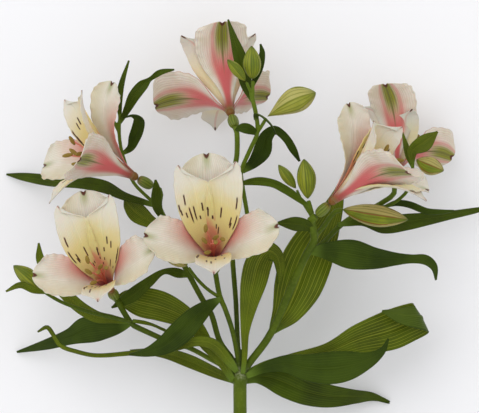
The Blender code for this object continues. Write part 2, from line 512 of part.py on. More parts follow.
def stamens(name, values, parts, paint):
    """Six arched filaments with their anthers and the style between them, joined at the foot"""
    place, face, top, size, changes = values
    frame = bloom_frame(face, top)
    foot = Vector(place) + frame[0] * (ROOT_LENGTH / 2 + GAP + STAMEN_FOOT)
    turn = frame[0].to_track_quat("Z", "Y").to_matrix()
    body = ball(name, foot, [STAMEN_FOOT] * 3, turn, 6, 4, parts, paint)
    pieces = collection(name + " filaments")
    for i in range(FILAMENTS + 1):
        style = i == FILAMENTS
        outward = radial(frame, 30 + 60 * i)
        reach = (STYLE_REACH if style else FILAMENT_REACH + REACH_STEP * (i % 3)) * size
        spread = STYLE_SPREAD if style else FILAMENT_SPREAD + SPREAD_STEP * (i % 2)
        bend = outward * spread - frame[1] * FILAMENT_DROOP * size
        route = [tuple(foot + frame[0] * reach * t + bend * t * t) for t in (0, 0.35, 0.7, 1)]
        tube(name + f"_filament_{i}", route, FILAMENT_RADIUS, FILAMENT_RADIUS, 4, 10, pieces, paint)
        if not style:
            ball(name + f"_anther_{i}", Vector(route[-1]), ANTHER, turn, 4, 3, pieces, paint)
    return joined(body, pieces)


def bud(name, values, parts, paint):
    """A closed bud: a round grid whose rings follow a bowed line and swell towards the middle"""
    base, tip, radius, bow, fullest = values
    start, end = Vector(base), Vector(tip)
    along = (end - start).normalized()
    side = along.cross(UP).normalized()
    normal = along.cross(side)
    bm = bmesh.new()
    bmesh.ops.create_uvsphere(bm, u_segments=BUD_SIDES, v_segments=BUD_RINGS, radius=1)
    power = math.log(0.5) / math.log(fullest)
    for vert in bm.verts:
        share = min(max((vert.co.z + 1) / 2, 0), 1)
        swell = radius * math.sin(math.pi * share**power) ** 0.75
        round_part = Vector((vert.co.x, vert.co.y, 0))
        if round_part.length > 1e-6:
            round_part.normalize()
        middle = start.lerp(end, share) + side * bow * math.sin(math.pi * share)
        vert.co = middle + (side * round_part.x + normal * round_part.y) * swell
    return add_object(name, bm, parts, paint)


def stalks(extra, group, paint):
    """The main stalk and every flower stalk as one solid, or that solid grown by the extra radius"""
    thick = MAIN_RADIUS + extra
    main = tube("stem", MAIN_STALK, thick, thick, MAIN_SIDES, MAIN_STEP, group, paint)
    pieces = collection("stalks")
    sizes = [s + extra for s in FORK_SIZE]
    ball("swelling", Vector(FORK_SWELLING), sizes, Matrix.Identity(3), 12, 8, pieces, paint)
    ends = {"ray_a": "bloom_a", "ray_b": "bloom_b", "ray_c": "bloom_c", "ray_d": "bloom_d",
            "ray_e": "bloom_e", "side_far": "bloom_f"}
    for name, (route, first, last) in STALKS.items():
        if name in ends:
            route = (*route, *stalk_end(BLOOMS[ends[name]]))
        tube(name, route, first + extra, last + extra, STALK_SIDES, STALK_STEP, pieces, paint)
    for name, values in BRACTS.items():
        applied(leaf(name, values, pieces, paint, extra))
    return joined(main, pieces)


def main():
    clear_scene()
    parts = collection("alstroemeria_stem")
    helpers = collection("cutters")
    stalk_green = material("stalk green")
    leaf_green = material("leaf green")
    bud_green = material("bud green")
    cream = material("tepal cream")
    brown = material("anther brown")
    stalks(0, parts, stalk_green)
    clearance = stalks(GAP, helpers, stalk_green)
    clearance.name = "stalk_clearance"
    clearance.hide_render = True
    clearance.display_type = "WIRE"
    for name, values in LEAVES.items():
        cut_clear(leaf(name, values, parts, leaf_green), clearance)
    for name, values in BUDS.items():
        bud(name, values, parts, bud_green)
    for name, values in BLOOMS.items():
        perianth(name + "_tepals", values, parts, cream)
        ovary(name + "_ovary", values, parts, stalk_green)
        stamens(name + "_stamens", values, parts, brown)


main()
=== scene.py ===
"""The looks of a cut alstroemeria stem that lies on a pale surface, seen from above.

Tables hold millimetres, with X and Y measured from the fork where the flower stalks part, and Z the
height above the surface. Meshes are in metres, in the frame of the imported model.
"""

import math

import bpy
from mathutils import Matrix, Vector, noise


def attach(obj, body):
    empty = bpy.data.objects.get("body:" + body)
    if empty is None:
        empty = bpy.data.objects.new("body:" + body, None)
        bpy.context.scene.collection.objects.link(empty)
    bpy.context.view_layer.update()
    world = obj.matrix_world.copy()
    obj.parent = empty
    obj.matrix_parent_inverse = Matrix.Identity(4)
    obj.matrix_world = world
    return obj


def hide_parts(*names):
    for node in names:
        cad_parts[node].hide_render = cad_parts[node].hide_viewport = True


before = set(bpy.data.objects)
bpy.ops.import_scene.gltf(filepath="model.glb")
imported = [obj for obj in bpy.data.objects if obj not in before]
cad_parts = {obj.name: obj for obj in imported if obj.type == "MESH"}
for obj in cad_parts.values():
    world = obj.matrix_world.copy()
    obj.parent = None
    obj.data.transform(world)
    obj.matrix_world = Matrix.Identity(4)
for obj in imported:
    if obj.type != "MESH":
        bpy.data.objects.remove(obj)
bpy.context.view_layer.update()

# The view
# The photograph looks at the flower head squarely. The stem lies down here, so the camera hangs far
# above it with a long lens. The surface is pale and the light is soft and comes from all round.
MM = 0.001
FORK = Vector((-3.5, -18.5, 0))
PIXEL = 0.47
PHOTO_WIDTH = 479
PHOTO_CENTRE = (239.5, 206.5)
FORK_PIXEL = (240, 375)
CAMERA_HEIGHT = 4000
FOCUS_HEIGHT = 48
SENSOR_WIDTH = 36
CLIP_END = 20
FLOOR_SIZE = 6

view_x = (PHOTO_CENTRE[0] - FORK_PIXEL[0]) * PIXEL + FORK.x
view_y = (FORK_PIXEL[1] - PHOTO_CENTRE[1]) * PIXEL + FORK.y
bpy.ops.object.camera_add(location=(view_x * MM, view_y * MM, CAMERA_HEIGHT * MM))
camera = bpy.context.object
camera.data.sensor_fit = "HORIZONTAL"
camera.data.sensor_width = SENSOR_WIDTH
camera.data.lens = SENSOR_WIDTH * (CAMERA_HEIGHT - FOCUS_HEIGHT) / (PHOTO_WIDTH * PIXEL)
camera.data.clip_end = CLIP_END
bpy.context.scene.camera = camera
bpy.context.scene.view_settings.view_transform = "Standard"


def paint(red, green, blue):
    """A colour given as it looks on screen, from 0 to 255, in the linear numbers that a shader takes"""
    return (*(pow(part / 255, 2.2) for part in (red, green, blue)), 1)


def lamp(name, place, spread, power):
    """A far, wide and soft light that shines from a place to the flower head"""
    bpy.ops.object.light_add(type="SUN", location=place)
    made = bpy.context.object
    made.name = name
    made.data.angle = math.radians(spread)
    made.data.energy = power
    aim = Vector((view_x * MM, view_y * MM, 0)) - Vector(place)
    made.rotation_euler = aim.to_track_quat("-Z", "Y").to_euler()
    return made


lamp("key", (-0.9, 0.9, 1.4), 60, 0.9)
lamp("fill", (0.9, 0.2, 1.5), 80, 0.3)
world = bpy.data.worlds.new("studio")
world.use_nodes = True
sky = world.node_tree.nodes["Background"]
sky.inputs["Color"].default_value = (0.98, 0.98, 1, 1)
sky.inputs["Strength"].default_value = 0.85
bpy.context.scene.world = world

bpy.ops.mesh.primitive_plane_add(size=FLOOR_SIZE)
floor = bpy.context.object
floor.name = "floor"
floor_finish = bpy.data.materials.new("pale surface")
floor_finish.use_nodes = True
floor_shader = floor_finish.node_tree.nodes["Principled BSDF"]
floor_shader.inputs["Base Color"].default_value = (0.87, 0.87, 0.88, 1)
floor_shader.inputs["Roughness"].default_value = 0.9
floor.data.materials.append(floor_finish)


# Stalks
# One green shoot: the main stalk, its swollen fork, the rays that carry the blooms and their side
# stalks have grown together, so the tubes are drawn along their routes and melted into one skin.
MAIN_STALK = ((0, -130, 2.9), (0.5, -112, 5.5), (1, -80, 18), (0.5, -45, 30), (0, -15, 37.5), (0, 0, 40))
MAIN_RADIUS = 2.8
FORK_RADIUS = 3.2
FORK_SWELLING = (0, -1.5, 39.5)
FORK_SIZE = (3.9, 5.0, 3.7)
# A pale spot at the top of the fork, partly waxy bloom and partly a painted highlight
WAX_AND_HIGHLIGHT_SPOT = (0.5, 1.5, 43)
# Route, first radius, last radius
RAYS = {
    "ray_a": ((
        (-0.5, 0, 40), (-12.5, 6.5, 41), (-23.5, 12.5, 42), (-33, 15.5, 42.5), (-45.5, 21, 42.5),
        (-51, 24, 42),
    ), 1.1, 1.5),
    "ray_b": ((
        (-0.3, 1, 41), (-1.2, 9, 43), (-3.5, 20.5, 44.5), (-7, 31, 45.5), (-9.5, 37, 44),
    ), 1.2, 1.3),
    "ray_c": ((
        (-1, 1, 39), (-3.5, 7, 38), (-9.5, 15.5, 37.5), (-13.5, 28.5, 38), (-17.5, 35, 38),
        (-23.5, 46, 37), (-27.5, 54, 37), (-34, 70.5, 38), (-38, 79, 40.5),
    ), 1.4, 1.4),
    "ray_d": ((
        (0, 1, 38.5), (-1, 14, 37), (-2, 35, 35.5), (-3.5, 55, 35.5), (-4, 80, 39), (-3, 95, 43),
        (-1.5, 103, 49),
    ), 1.2, 1.3),
    "ray_e": ((
        (0.8, 0.5, 40), (5.5, 7, 41.5), (12, 15.5, 43.5), (16.5, 23.5, 46), (23.5, 40, 50),
        (30.5, 55.5, 54), (35, 64.5, 57),
    ), 1.8, 1.9),
    "ray_g": ((
        (0.6, 1, 38.5), (2.5, 18, 35), (4, 45, 34), (4, 70, 38), (1, 90, 45), (0.5, 95.5, 47.5),
        (4.7, 105.8, 52), (8.2, 114, 55), (7.4, 123, 57), (6, 129, 58), (5.2, 132.5, 58.5),
    ), 1.1, 1.1),
    "side_a_bud": ((
        (-51, 25, 43), (-62, 27.5, 45.5), (-72, 30, 46), (-84, 34.3, 46), (-92, 39, 46.5),
    ), 1.0, 0.9),
    "side_b_bud": (((-9, 36, 44.3), (-15.5, 40.5, 46), (-21, 46, 45.5), (-24.3, 50.5, 45.5)), 0.9, 0.9),
    "side_c_cluster": ((
        (-37.7, 78.5, 40.5), (-44, 84, 38), (-50.5, 91, 34), (-55.5, 104, 33), (-57, 114, 35),
        (-56.5, 122.5, 37),
    ), 0.9, 0.9),
    "side_c_bud": (((-57, 114, 35), (-60.5, 121.5, 36.5), (-62.2, 125.5, 37)), 0.8, 0.8),
    "side_f": (((35.2, 67, 58), (34, 75, 57), (32, 82, 57)), 1.1, 1.1),
    "side_f_small": (((34.2, 73.5, 57.2), (29.5, 81, 56.5), (26.6, 87, 56)), 0.8, 0.7),
    "side_far": ((
        (30, 56, 54), (38.5, 61.5, 49), (47, 70, 41.5), (55, 75.5, 38.3), (63.5, 79, 38.5),
        (68.5, 82, 41.7),
    ), 1.3, 1.3),
    "side_h": ((
        (61.5, 78.3, 38.3), (71, 80, 37.3), (79.5, 87.5, 37.8), (81.3, 97, 39.3), (81.2, 101.6, 40.2),
    ), 0.9, 0.9),
    "side_i": (((34.8, 65, 57.3), (39, 69.5, 53), (44.2, 76.5, 49), (47.6, 77.6, 47)), 1.2, 1.2),
    "side_g1": (((6, 129, 58), (6, 134.5, 58.5), (6, 138.2, 59)), 0.9, 0.9),
    "side_g2": (((5.2, 132.5, 58.5), (3.8, 135.5, 61), (3, 137.4, 62)), 0.8, 0.8),
    "side_g4": (((8.2, 114, 55), (10.5, 117.5, 58), (12.3, 120.6, 59)), 0.9, 0.9),
}
BLOOM_OF_RAY = {
    "ray_a": "bloom_a", "ray_b": "bloom_b", "ray_c": "bloom_c",
    "ray_d": "bloom_d", "ray_e": "bloom_e", "side_far": "bloom_f",
}
# Blooms: root of the tepals, direction the bloom faces, direction of its top tepal, size
BLOOMS = {
    "bloom_a": ((-61, 40.6, 53), (-0.22, 0.40, 0.89), (-0.22, 1, 0), 0.93),
    "bloom_b": ((-12, 53.5, 54), (-0.04, 0.42, 0.91), (-0.07, 1, 0), 1.0),
    "bloom_c": ((-50, 93.5, 48), (-0.82, 0.46, 0.34), (0.3, 1, 0), 0.93),
    "bloom_d": ((-4.5, 123.5, 45), (-0.2, 0.65, -0.73), (-0.1, 1, 0), 0.9),
    "bloom_e": ((43.5, 82, 64), (0.70, 0.65, 0.30), (-0.4, 1, 0), 1.0),
    "bloom_f": ((74.5, 97, 34), (0.15, 0.80, -0.58), (-0.1, 1, 0), 0.82),
}
OVARY_REACH = 11.3
STRAIGHT_END = 4
STALK_SKIN = 0.42
STALK_STEP = 3


def steps_of(points):
    """The distances from each point to the next"""
    return [(Vector(b[:3]) - Vector(a[:3])).length for a, b in zip(points, points[1:])]


def smooth(points, share):
    """The point at a share of the way along a smooth curve through points, with what each carries"""
    steps = steps_of(points)
    ends = [sum(steps[:i]) for i in range(len(points))]
    at = share * ends[-1]
    i = max(k for k in range(len(steps)) if ends[k] <= at + 1e-9)
    t = (at - ends[i]) / steps[i]

    def slope(k):
        """How fast the curve moves on at one of the points"""
        low, high = max(k - 1, 0), min(k + 1, len(points) - 1)
        return [(q - p) / (ends[high] - ends[low]) for p, q in zip(points[low], points[high])]

    weights = (2 * t**3 - 3 * t**2 + 1, t**3 - 2 * t**2 + t, 3 * t**2 - 2 * t**3, t**3 - t**2)
    parts = zip(points[i], slope(i), points[i + 1], slope(i + 1))
    return [
        weights[0] * a + weights[1] * steps[i] * m + weights[2] * b + weights[3] * steps[i] * n
        for a, m, b, n in parts
    ]


def only(piece):
    """Makes the piece the one that operators act on"""
    bpy.ops.object.select_all(action="DESELECT")
    piece.select_set(True)
    bpy.context.view_layer.objects.active = piece


def settle(piece):
    """Applies the piece's modifiers, in order, and shades it smooth"""
    only(piece)
    for modifier in [m.name for m in piece.modifiers]:
        bpy.ops.object.modifier_apply(modifier=modifier)
    bpy.ops.object.shade_smooth()
    return piece


def joined(name, pieces):
    """One piece made of several"""
    bpy.ops.object.select_all(action="DESELECT")
    for piece in pieces:
        piece.select_set(True)
    bpy.context.view_layer.objects.active = pieces[0]
    bpy.ops.object.join()
    pieces[0].name = name
    return pieces[0]


def thread(name, route, first, last, step, sides):
    """A round stalk or filament along a smooth route, first and last being its radii"""
    count = max(3, round(sum(steps_of(route)) / step))
    bpy.ops.object.select_all(action="DESELECT")
    bpy.ops.curve.primitive_nurbs_path_add()
    drawn = bpy.context.object
    drawn.data.splines.clear()
    spline = drawn.data.splines.new("POLY")
    spline.points.add(count)
    for i, point in enumerate(spline.points):
        share = i / count
        point.co = (*((Vector(smooth(route, share)) + FORK) * MM), 1)
        point.radius = first + (last - first) * share
    drawn.data.bevel_depth = MM
    drawn.data.bevel_resolution = sides // 2 - 2
    drawn.data.use_fill_caps = True
    only(drawn)
    bpy.ops.object.convert(target="MESH")
    drawn.name = name
    return drawn


def ball(name, segments, rings):
    """A round grid of radius 1, with its poles along Z"""
    bpy.ops.object.select_all(action="DESELECT")
    bpy.ops.mesh.primitive_uv_sphere_add(segments=segments, ring_count=rings, radius=1)
    made = bpy.context.object
    made.name = name
    return made


def globe(name, place, sizes, turn, segments, rings):
    """A ball stretched to its sizes, turned and put in its place"""
    made = ball(name, segments, rings)
    scaled = Matrix.Diagonal((*(size * MM for size in sizes), 1))
    made.data.transform(Matrix.Translation((Vector(place) + FORK) * MM) @ turn.to_4x4() @ scaled)
    return made


def facing_of(bloom):
    """The direction that a bloom faces"""
    return Vector(BLOOMS[bloom][1]).normalized()


def stalk_end(bloom):
    """The last two points of a flower stalk, which meets its ovary squarely"""
    end = Vector(BLOOMS[bloom][0]) - facing_of(bloom) * OVARY_REACH
    return tuple(end - facing_of(bloom) * STRAIGHT_END), tuple(end)


tubes = [thread("stalks", MAIN_STALK, MAIN_RADIUS, FORK_RADIUS, STALK_STEP, 24)]
tubes.append(globe("swelling", FORK_SWELLING, FORK_SIZE, Matrix.Identity(3), 32, 20))
for ray, (route, first, last) in RAYS.items():
    if ray in BLOOM_OF_RAY:
        route = (*route, *stalk_end(BLOOM_OF_RAY[ray]))
    tubes.append(thread(ray, route, first, last, STALK_STEP, 14))
stalks = joined("stalks", tubes)
skin = stalks.modifiers.new("Skin", "REMESH")
skin.mode = "VOXEL"
skin.voxel_size = STALK_SKIN * MM
soften = stalks.modifiers.new("Soften", "SMOOTH")
soften.factor = 0.5
soften.iterations = 4
settle(stalks)


def feed(tree, socket, value):
    """Gives a socket a number or colour, or links another socket to it"""
    if isinstance(value, bpy.types.NodeSocket):
        tree.links.new(value, socket)
    else:
        socket.default_value = value


def add_node(tree, kind, settings=(), **values):
    """A new shader node with its settings, and its inputs by name"""
    made = tree.nodes.new(kind)
    for name, value in dict(settings).items():
        setattr(made, name, value)
    for name, value in values.items():
        feed(tree, made.inputs[name], value)
    return made


def maths(tree, operation, *values):
    """A sum, product or other result of values"""
    made = add_node(tree, "ShaderNodeMath", {"operation": operation})
    for socket, value in zip(made.inputs, values):
        feed(tree, socket, value)
    return made.outputs[0]


def times(tree, *values):
    """The product of two or more values"""
    product = values[0]
    for value in values[1:]:
        product = maths(tree, "MULTIPLY", product, value)
    return product


def rising(tree, value, low, high):
    """0 below low, 1 above high and smooth between; with low above high it falls instead"""
    made = add_node(tree, "ShaderNodeMapRange", {"interpolation_type": "SMOOTHSTEP"}, Value=value)
    turned = low > high
    made.inputs["From Min"].default_value = min(low, high)
    made.inputs["From Max"].default_value = max(low, high)
    made.inputs["To Min"].default_value = 1 if turned else 0
    made.inputs["To Max"].default_value = 0 if turned else 1
    return made.outputs["Result"]


def cloud(tree, coordinates, scale, detail=3.0):
    """Soft patches all over, small where the scale is large"""
    made = add_node(tree, "ShaderNodeTexNoise", Vector=coordinates, Scale=scale, Detail=detail)
    return made.outputs["Fac"]


def finish(name, roughness, gloss=0.3, sheen=0.0, subsurface=0.0):
    """A new material: itself, its nodes, its shader, and the first of the marks that its colours go by"""
    made = bpy.data.materials.new(name)
    made.use_nodes = True
    tree = made.node_tree
    shader = tree.nodes["Principled BSDF"]
    shader.inputs["Roughness"].default_value = roughness
    shader.inputs["Specular IOR Level"].default_value = gloss
    shader.inputs["Sheen Weight"].default_value = sheen
    shader.inputs["Subsurface Weight"].default_value = subsurface
    shader.inputs["Subsurface Scale"].default_value = 0.002
    coordinates = tree.nodes.new("ShaderNodeTexCoord")
    return made, tree, shader, {"place": coordinates.outputs["Object"], "uv": coordinates.outputs["UV"]}


# Which sockets of a Mix node hold the share, the lower colour, the upper colour and the result
MIX_SHARE = 0
MIX_UNDER = 6
MIX_OVER = 7
MIX_RESULT = 2


def coloured(tree, shader, colour, marks, layers):
    """Lays colours over the first one in turn. Each has its strength and the marks that say where it lies,
    as they are or from 0 at one value of the mark to 1 at another"""
    for over, strength, *where in layers:
        shares = [rising(tree, marks[mark], *ends) if ends else marks[mark] for mark, *ends in where]
        made = add_node(tree, "ShaderNodeMix", {"data_type": "RGBA"})
        feed(tree, made.inputs[MIX_SHARE], times(tree, *shares, strength))
        feed(tree, made.inputs[MIX_UNDER], colour)
        feed(tree, made.inputs[MIX_OVER], over)
        colour = made.outputs[MIX_RESULT]
    feed(tree, shader.inputs["Base Color"], colour)


def raised(tree, shader, height, distance):
    """Low relief in the surface, from a height"""
    made = add_node(tree, "ShaderNodeBump", Height=height, Distance=distance, Strength=0.5)
    feed(tree, shader.inputs["Normal"], made.outputs["Normal"])


def stalk_finish():
    """Green that is paler up in the head, with fine specks and a pale spot at the fork: waxy bloom with a
    painted highlight
    """
    made, tree, shader, marks = finish("stalk green", 0.5, gloss=0.15)
    away = add_node(tree, "ShaderNodeVectorMath", {"operation": "DISTANCE"})
    feed(tree, away.inputs[0], marks["place"])
    feed(tree, away.inputs[1], (Vector(WAX_AND_HIGHLIGHT_SPOT) + FORK) * MM)
    marks["wax"] = away.outputs["Value"]
    marks["tone"] = cloud(tree, marks["place"], 40)
    marks["specks"] = cloud(tree, marks["place"], 900, 4)
    marks["upwards"] = add_node(tree, "ShaderNodeSeparateXYZ", Vector=marks["place"]).outputs["Y"]
    coloured(tree, shader, paint(60, 76, 8), marks, (
        (paint(82, 98, 14), 1, ("tone", 0.35, 0.65)),
        (paint(88, 106, 26), 1, ("upwards", 0.02, 0.11)),
        (paint(120, 134, 56), 0.2, ("specks", 0.45, 0.75)),
        # Pale speckled spot at the fork: waxy bloom with a painted highlight
        (paint(168, 172, 138), 0.6, ("wax", 0.005, 0.001), ("specks", 0.3, 0.7)),
    ))
    raised(tree, shader, marks["specks"], 0.0002)
    return made


stalk_green = stalk_finish()
stalks.data.materials.clear()
stalks.data.materials.append(stalk_green)
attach(stalks, "root")
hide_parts("stem")


# Leaves
# Thin lance-shaped blades with many parallel veins, cupped, waved and folded over as they wilt. Each
# one is a flat grid bent along its path and given its thickness.
# Tone, path with half width and turn at each point, cup, depth of the waves, their number
LEAVES = {
    "leaf_wide_left": ("fresh", (
        (-3.2, -3, 41, 1.3, 0), (-9.5, 7.5, 44.5, 2.6, 0), (-16, 15, 46.5, 3.2, 0),
        (-20, 21.5, 46.5, 3.6, 0), (-27, 27.5, 45, 5.4, 0), (-36, 31.5, 41.5, 7.0, 5),
        (-46, 34, 36.5, 7.0, 0), (-54, 35.5, 32, 4.2, 0), (-59.5, 35, 29.5, 0.4, 0),
    ), 0.18, 0.5, 3),
    "leaf_dark_left": ("dark", (
        (-50.5, 24.5, 41, 0.9, 0), (-58, 22.5, 39, 3.6, 0), (-66, 22, 35.5, 6.0, -8),
        (-72.5, 21, 31.5, 6.2, -8), (-80, 17.8, 25, 3.9, 0), (-91, 14, 15, 2.6, 0),
        (-106, 10, 0.8, 0.5, 0),
    ), 0.2, 0, 0),
    "leaf_light_left": ("fresh", (
        (-2.6, -3, 39, 1.4, 0), (-12, 1, 35, 2.5, 0), (-23.5, 6, 31, 3.1, 0), (-34, 9.5, 26, 2.6, 0),
        (-43, 10.5, 21, 1.6, 0), (-52, 11, 16, 0.4, 0),
    ), 0.25, 0, 0),
    "leaf_arched_tail": ("fresh", (
        (-1.5, 1.5, 43.5, 1.2, 0), (-5.5, 7, 49, 2.2, 0), (-12.5, 14.5, 52, 2.6, 0),
        (-20, 16, 52, 2.4, 0), (-30, 13.5, 49.5, 2.0, 0), (-42, 11.2, 43, 1.4, 0), (-53, 10, 39, 1.1, 0),
        (-68, 9, 35, 1.0, 0), (-78, 11, 33.5, 1.0, 0), (-84.5, 13.5, 32.5, 1.0, 0),
        (-88, 18.5, 31.5, 1.0, 0), (-91, 22.2, 31, 1.0, 0), (-95.5, 20, 29.5, 0.4, 0),
    ), 0.3, 0, 0),
    "leaf_dark_middle": ("dark", (
        (-9, 36, 45, 0.9, 0), (-15.5, 32, 51, 3.2, 0), (-21.5, 27, 54.5, 5.0, -6),
        (-28, 20.5, 55.5, 5.8, -10), (-35, 14.5, 54, 4.6, -6), (-43, 11, 50, 2.4, 0),
        (-52, 9.5, 45.5, 0.4, 0),
    ), 0.2, 0, 0),
    "leaf_broad_middle": ("fresh", (
        (14.5, 19.5, 44.5, 1.2, 0), (17, 23, 43, 3.4, 0), (22, 30, 41, 7.4, 0), (26.5, 40, 39, 11.0, 0),
        (30.5, 51, 37, 12.0, 0), (35, 61, 35.5, 10.6, 0), (40, 70, 34, 7.4, 0), (45, 81, 32, 4.0, 0),
        (48.5, 93, 29.5, 0.4, 0),
    ), 0.1, 0.7, 3),
    "leaf_folded_middle": ("fresh", (
        (1.3, 0.5, 43, 1.1, 0), (2.2, 9, 45.5, 1.3, 0), (2.4, 20, 46.5, 2.0, 0), (4, 32, 47, 4.0, 0),
        (6.5, 44, 47.5, 6.1, 0), (9, 53, 47, 6.2, 0), (13, 58, 46.5, 4.8, 0), (17, 56, 45.5, 3.4, 0),
        (18.7, 50, 45, 2.4, 0), (18.2, 43, 44.5, 0.4, 0),
    ), 0.25, 0, 0),
    "leaf_right_upper": ("dark", (
        (32, 58, 54.5, 1.0, 0), (40, 58.3, 54, 3.9, 0), (51.5, 57, 52, 6.9, 8), (62.5, 55, 48, 5.3, 12),
        (73, 54.5, 42, 3.1, 0), (81, 54.5, 38, 2.1, 0), (87.5, 54, 34.5, 2.4, 0),
        (91.5, 50.5, 32, 1.8, 0), (92.5, 44.5, 29.5, 0.4, 0),
    ), 0.2, 0, 0),
    "leaf_right_long": ("middle", (
        (46, 70.5, 44, 0.9, 0), (51.5, 71.5, 40, 1.6, 0), (58, 71.7, 36.5, 1.8, 0),
        (67.5, 70.5, 33, 4.0, 10), (78.5, 71.8, 29, 3.9, 0), (89.5, 73.4, 24, 2.9, 0),
        (99, 75, 19, 2.1, 0), (112.5, 77.5, 12, 1.3, 0), (118.5, 79, 9, 0.4, 0),
    ), 0.25, 0, 0),
    "leaf_right_thin": ("dark", (
        (69, 79.5, 37.4, 0.8, 0), (74, 80.8, 35, 1.4, 0), (80, 80, 33.5, 1.6, 0), (88, 77, 32.5, 1.5, 0),
        (95, 76.7, 31, 1.1, 0), (101, 77.2, 29, 0.4, 0),
    ), 0.3, 0, 0),
    "leaf_right_folded": ("fresh", (
        (2.5, 0.6, 40.5, 1.2, 0), (12, 4, 39, 2.4, 0), (25, 7, 37.5, 3.0, 0), (42, 10.8, 35.5, 4.4, 5),
        (56, 16.5, 32.5, 7.2, 5), (70, 20.5, 28.5, 9.4, 0), (79, 24, 27, 9.0, 0),
        (85.5, 26.6, 29.5, 8.0, 0), (84, 27.2, 34, 6.6, 0), (76, 28, 35.5, 4.4, 0), (67, 30, 35, 0.5, 0),
    ), 0.1, 0.5, 2),
    "leaf_right_dark": ("dark", (
        (3, -0.6, 42, 1.3, 0), (12, 3.5, 45, 2.5, 0), (21.5, 5.2, 46, 4.2, 0), (32, 3.5, 45.5, 6.3, -5),
        (42, 3.2, 44.5, 7.6, -5), (51.5, 4.5, 42.5, 6.8, 0), (60.5, 7, 40.5, 3.8, 0),
        (67, 11.3, 39, 1.7, 0), (70, 17, 38, 0.4, 0),
    ), 0.15, 0, 0),
    "leaf_right_low": ("middle", (
        (2.6, -3, 38.5, 1.4, 0), (7.5, -1, 37, 3.4, 0), (14, -1.2, 35, 5.8, 0), (22, -4, 32, 7.4, 0),
        (31, -8, 27, 6.8, 0), (42.5, -10.6, 20, 5.4, 0), (54, -11, 12.5, 3.4, 0),
        (63, -11.2, 5.2, 1.9, 0), (71, -14, 0.6, 0.5, 0),
    ), 0.12, 0.5, 3),
    "strap_at_ray": ("middle", (
        (33, 78.5, 57.2, 0.8, 0), (24.5, 85, 59.5, 1.8, 0), (20.5, 87.5, 60, 1.9, 0),
        (15.5, 90, 60, 1.9, 0), (8, 91, 59, 1.9, 0), (-2, 89.6, 57, 0.5, 0),
    ), 0.3, 0, 0),
    "bract_at_ray": ("middle", (
        (34.2, 67.5, 58, 0.6, 0), (31, 70.3, 61.5, 2.7, 0), (25.5, 71.2, 61.5, 3.3, 0),
        (17, 71.5, 59, 0.4, 0),
    ), 0.25, 0, 0),
    "leaf_top_strap": ("dark", (
        (1.2, 95.5, 47.5, 1.0, 0), (6.5, 100, 46.5, 2.8, 0), (10.5, 105.5, 47.5, 4.2, 0),
        (12.5, 112, 49, 3.2, 0), (16.5, 115.2, 50.5, 2.1, 0), (21.5, 111.5, 50.5, 1.9, 0),
        (25, 106, 49, 1.8, 0), (28, 100.5, 46.5, 0.5, 0),
    ), 0.2, 0, 0),
    "leaf_top_point": ("middle", (
        (6.2, 128, 58, 0.9, 0), (3, 136.5, 53.5, 2.8, 0), (0, 149, 52.5, 3.1, 0), (-3, 158.5, 53, 1.7, 0),
        (-5.6, 167, 52, 0.4, 0),
    ), 0.2, 0, 0),
    "leaf_far_left": ("middle", (
        (-38, 79, 40.3, 0.8, 0), (-45, 81.2, 38.3, 1.4, 0), (-54.5, 84, 35.5, 2.0, 0),
        (-63.5, 88.3, 29, 3.0, 0), (-75, 90.5, 22, 3.0, 0), (-90, 91.5, 13, 2.8, 0),
        (-103, 93.3, 5, 1.9, 0), (-111, 94.5, 0.6, 0.4, 0),
    ), 0.25, 0, 0),
    "leaf_behind_a": ("fresh", (
        (-51.5, 24.8, 43, 0.8, 0), (-60, 26.2, 42, 2.0, 0), (-68, 27.5, 40.5, 2.8, 0),
        (-78, 34, 37, 3.0, 0), (-88, 45, 32, 2.7, 0), (-94, 54, 31, 2.2, 0), (-95, 62, 32, 0.4, 0),
    ), 0.2, 0, 0),
    "leaf_twisted_middle": ("middle", (
        (-23.8, 46.5, 37, 0.8, 0), (-29, 47.8, 37.5, 2.3, 0), (-36, 48.3, 39, 1.5, 45),
        (-43, 43.5, 41, 2.4, 20), (-51.5, 37, 40.2, 3.2, 0), (-60.5, 31.5, 38.5, 0.4, 0),
    ), 0.2, 0, 0),
    "leaf_c_low": ("fresh", (
        (-35.2, 70, 39, 0.8, 0), (-42, 72, 37, 3.0, 0), (-48, 76, 35, 4.6, 0), (-52.5, 80, 32, 2.8, 0),
        (-54.5, 82.5, 30, 0.4, 0),
    ), 0.25, 0, 0),
    "leaf_c_upright": ("middle", (
        (-37, 74, 40, 0.9, 0), (-38.7, 78.5, 44.5, 2.2, 0), (-39.5, 83, 48, 2.4, 0),
        (-39.4, 88, 50, 1.8, 0), (-39.7, 91.8, 50, 0.4, 0),
    ), 0.25, 0, 0),
    "leaf_c_folded": ("dark", (
        (-55.6, 104, 33, 0.8, 0), (-51.5, 107, 34, 1.8, 0), (-49.7, 111.5, 36, 2.8, 0),
        (-48, 116, 38.5, 3.0, 0), (-47.5, 120.5, 41.5, 2.7, 0), (-50.5, 122.2, 43.5, 1.8, 0),
        (-54.8, 121, 43.5, 0.4, 0),
    ), 0.2, 0, 0),
    "leaf_c_twisted": ("middle", (
        (-56.8, 118, 35.9, 0.6, 0), (-52.8, 125.5, 40, 1.9, 0), (-50, 131, 42, 2.7, 0),
        (-46, 136, 43, 2.6, 0), (-42.3, 139.4, 43, 1.4, 50), (-37.5, 142.3, 42, 1.4, 0),
        (-31, 143.7, 40, 0.4, 0),
    ), 0.2, 0, 0),
}
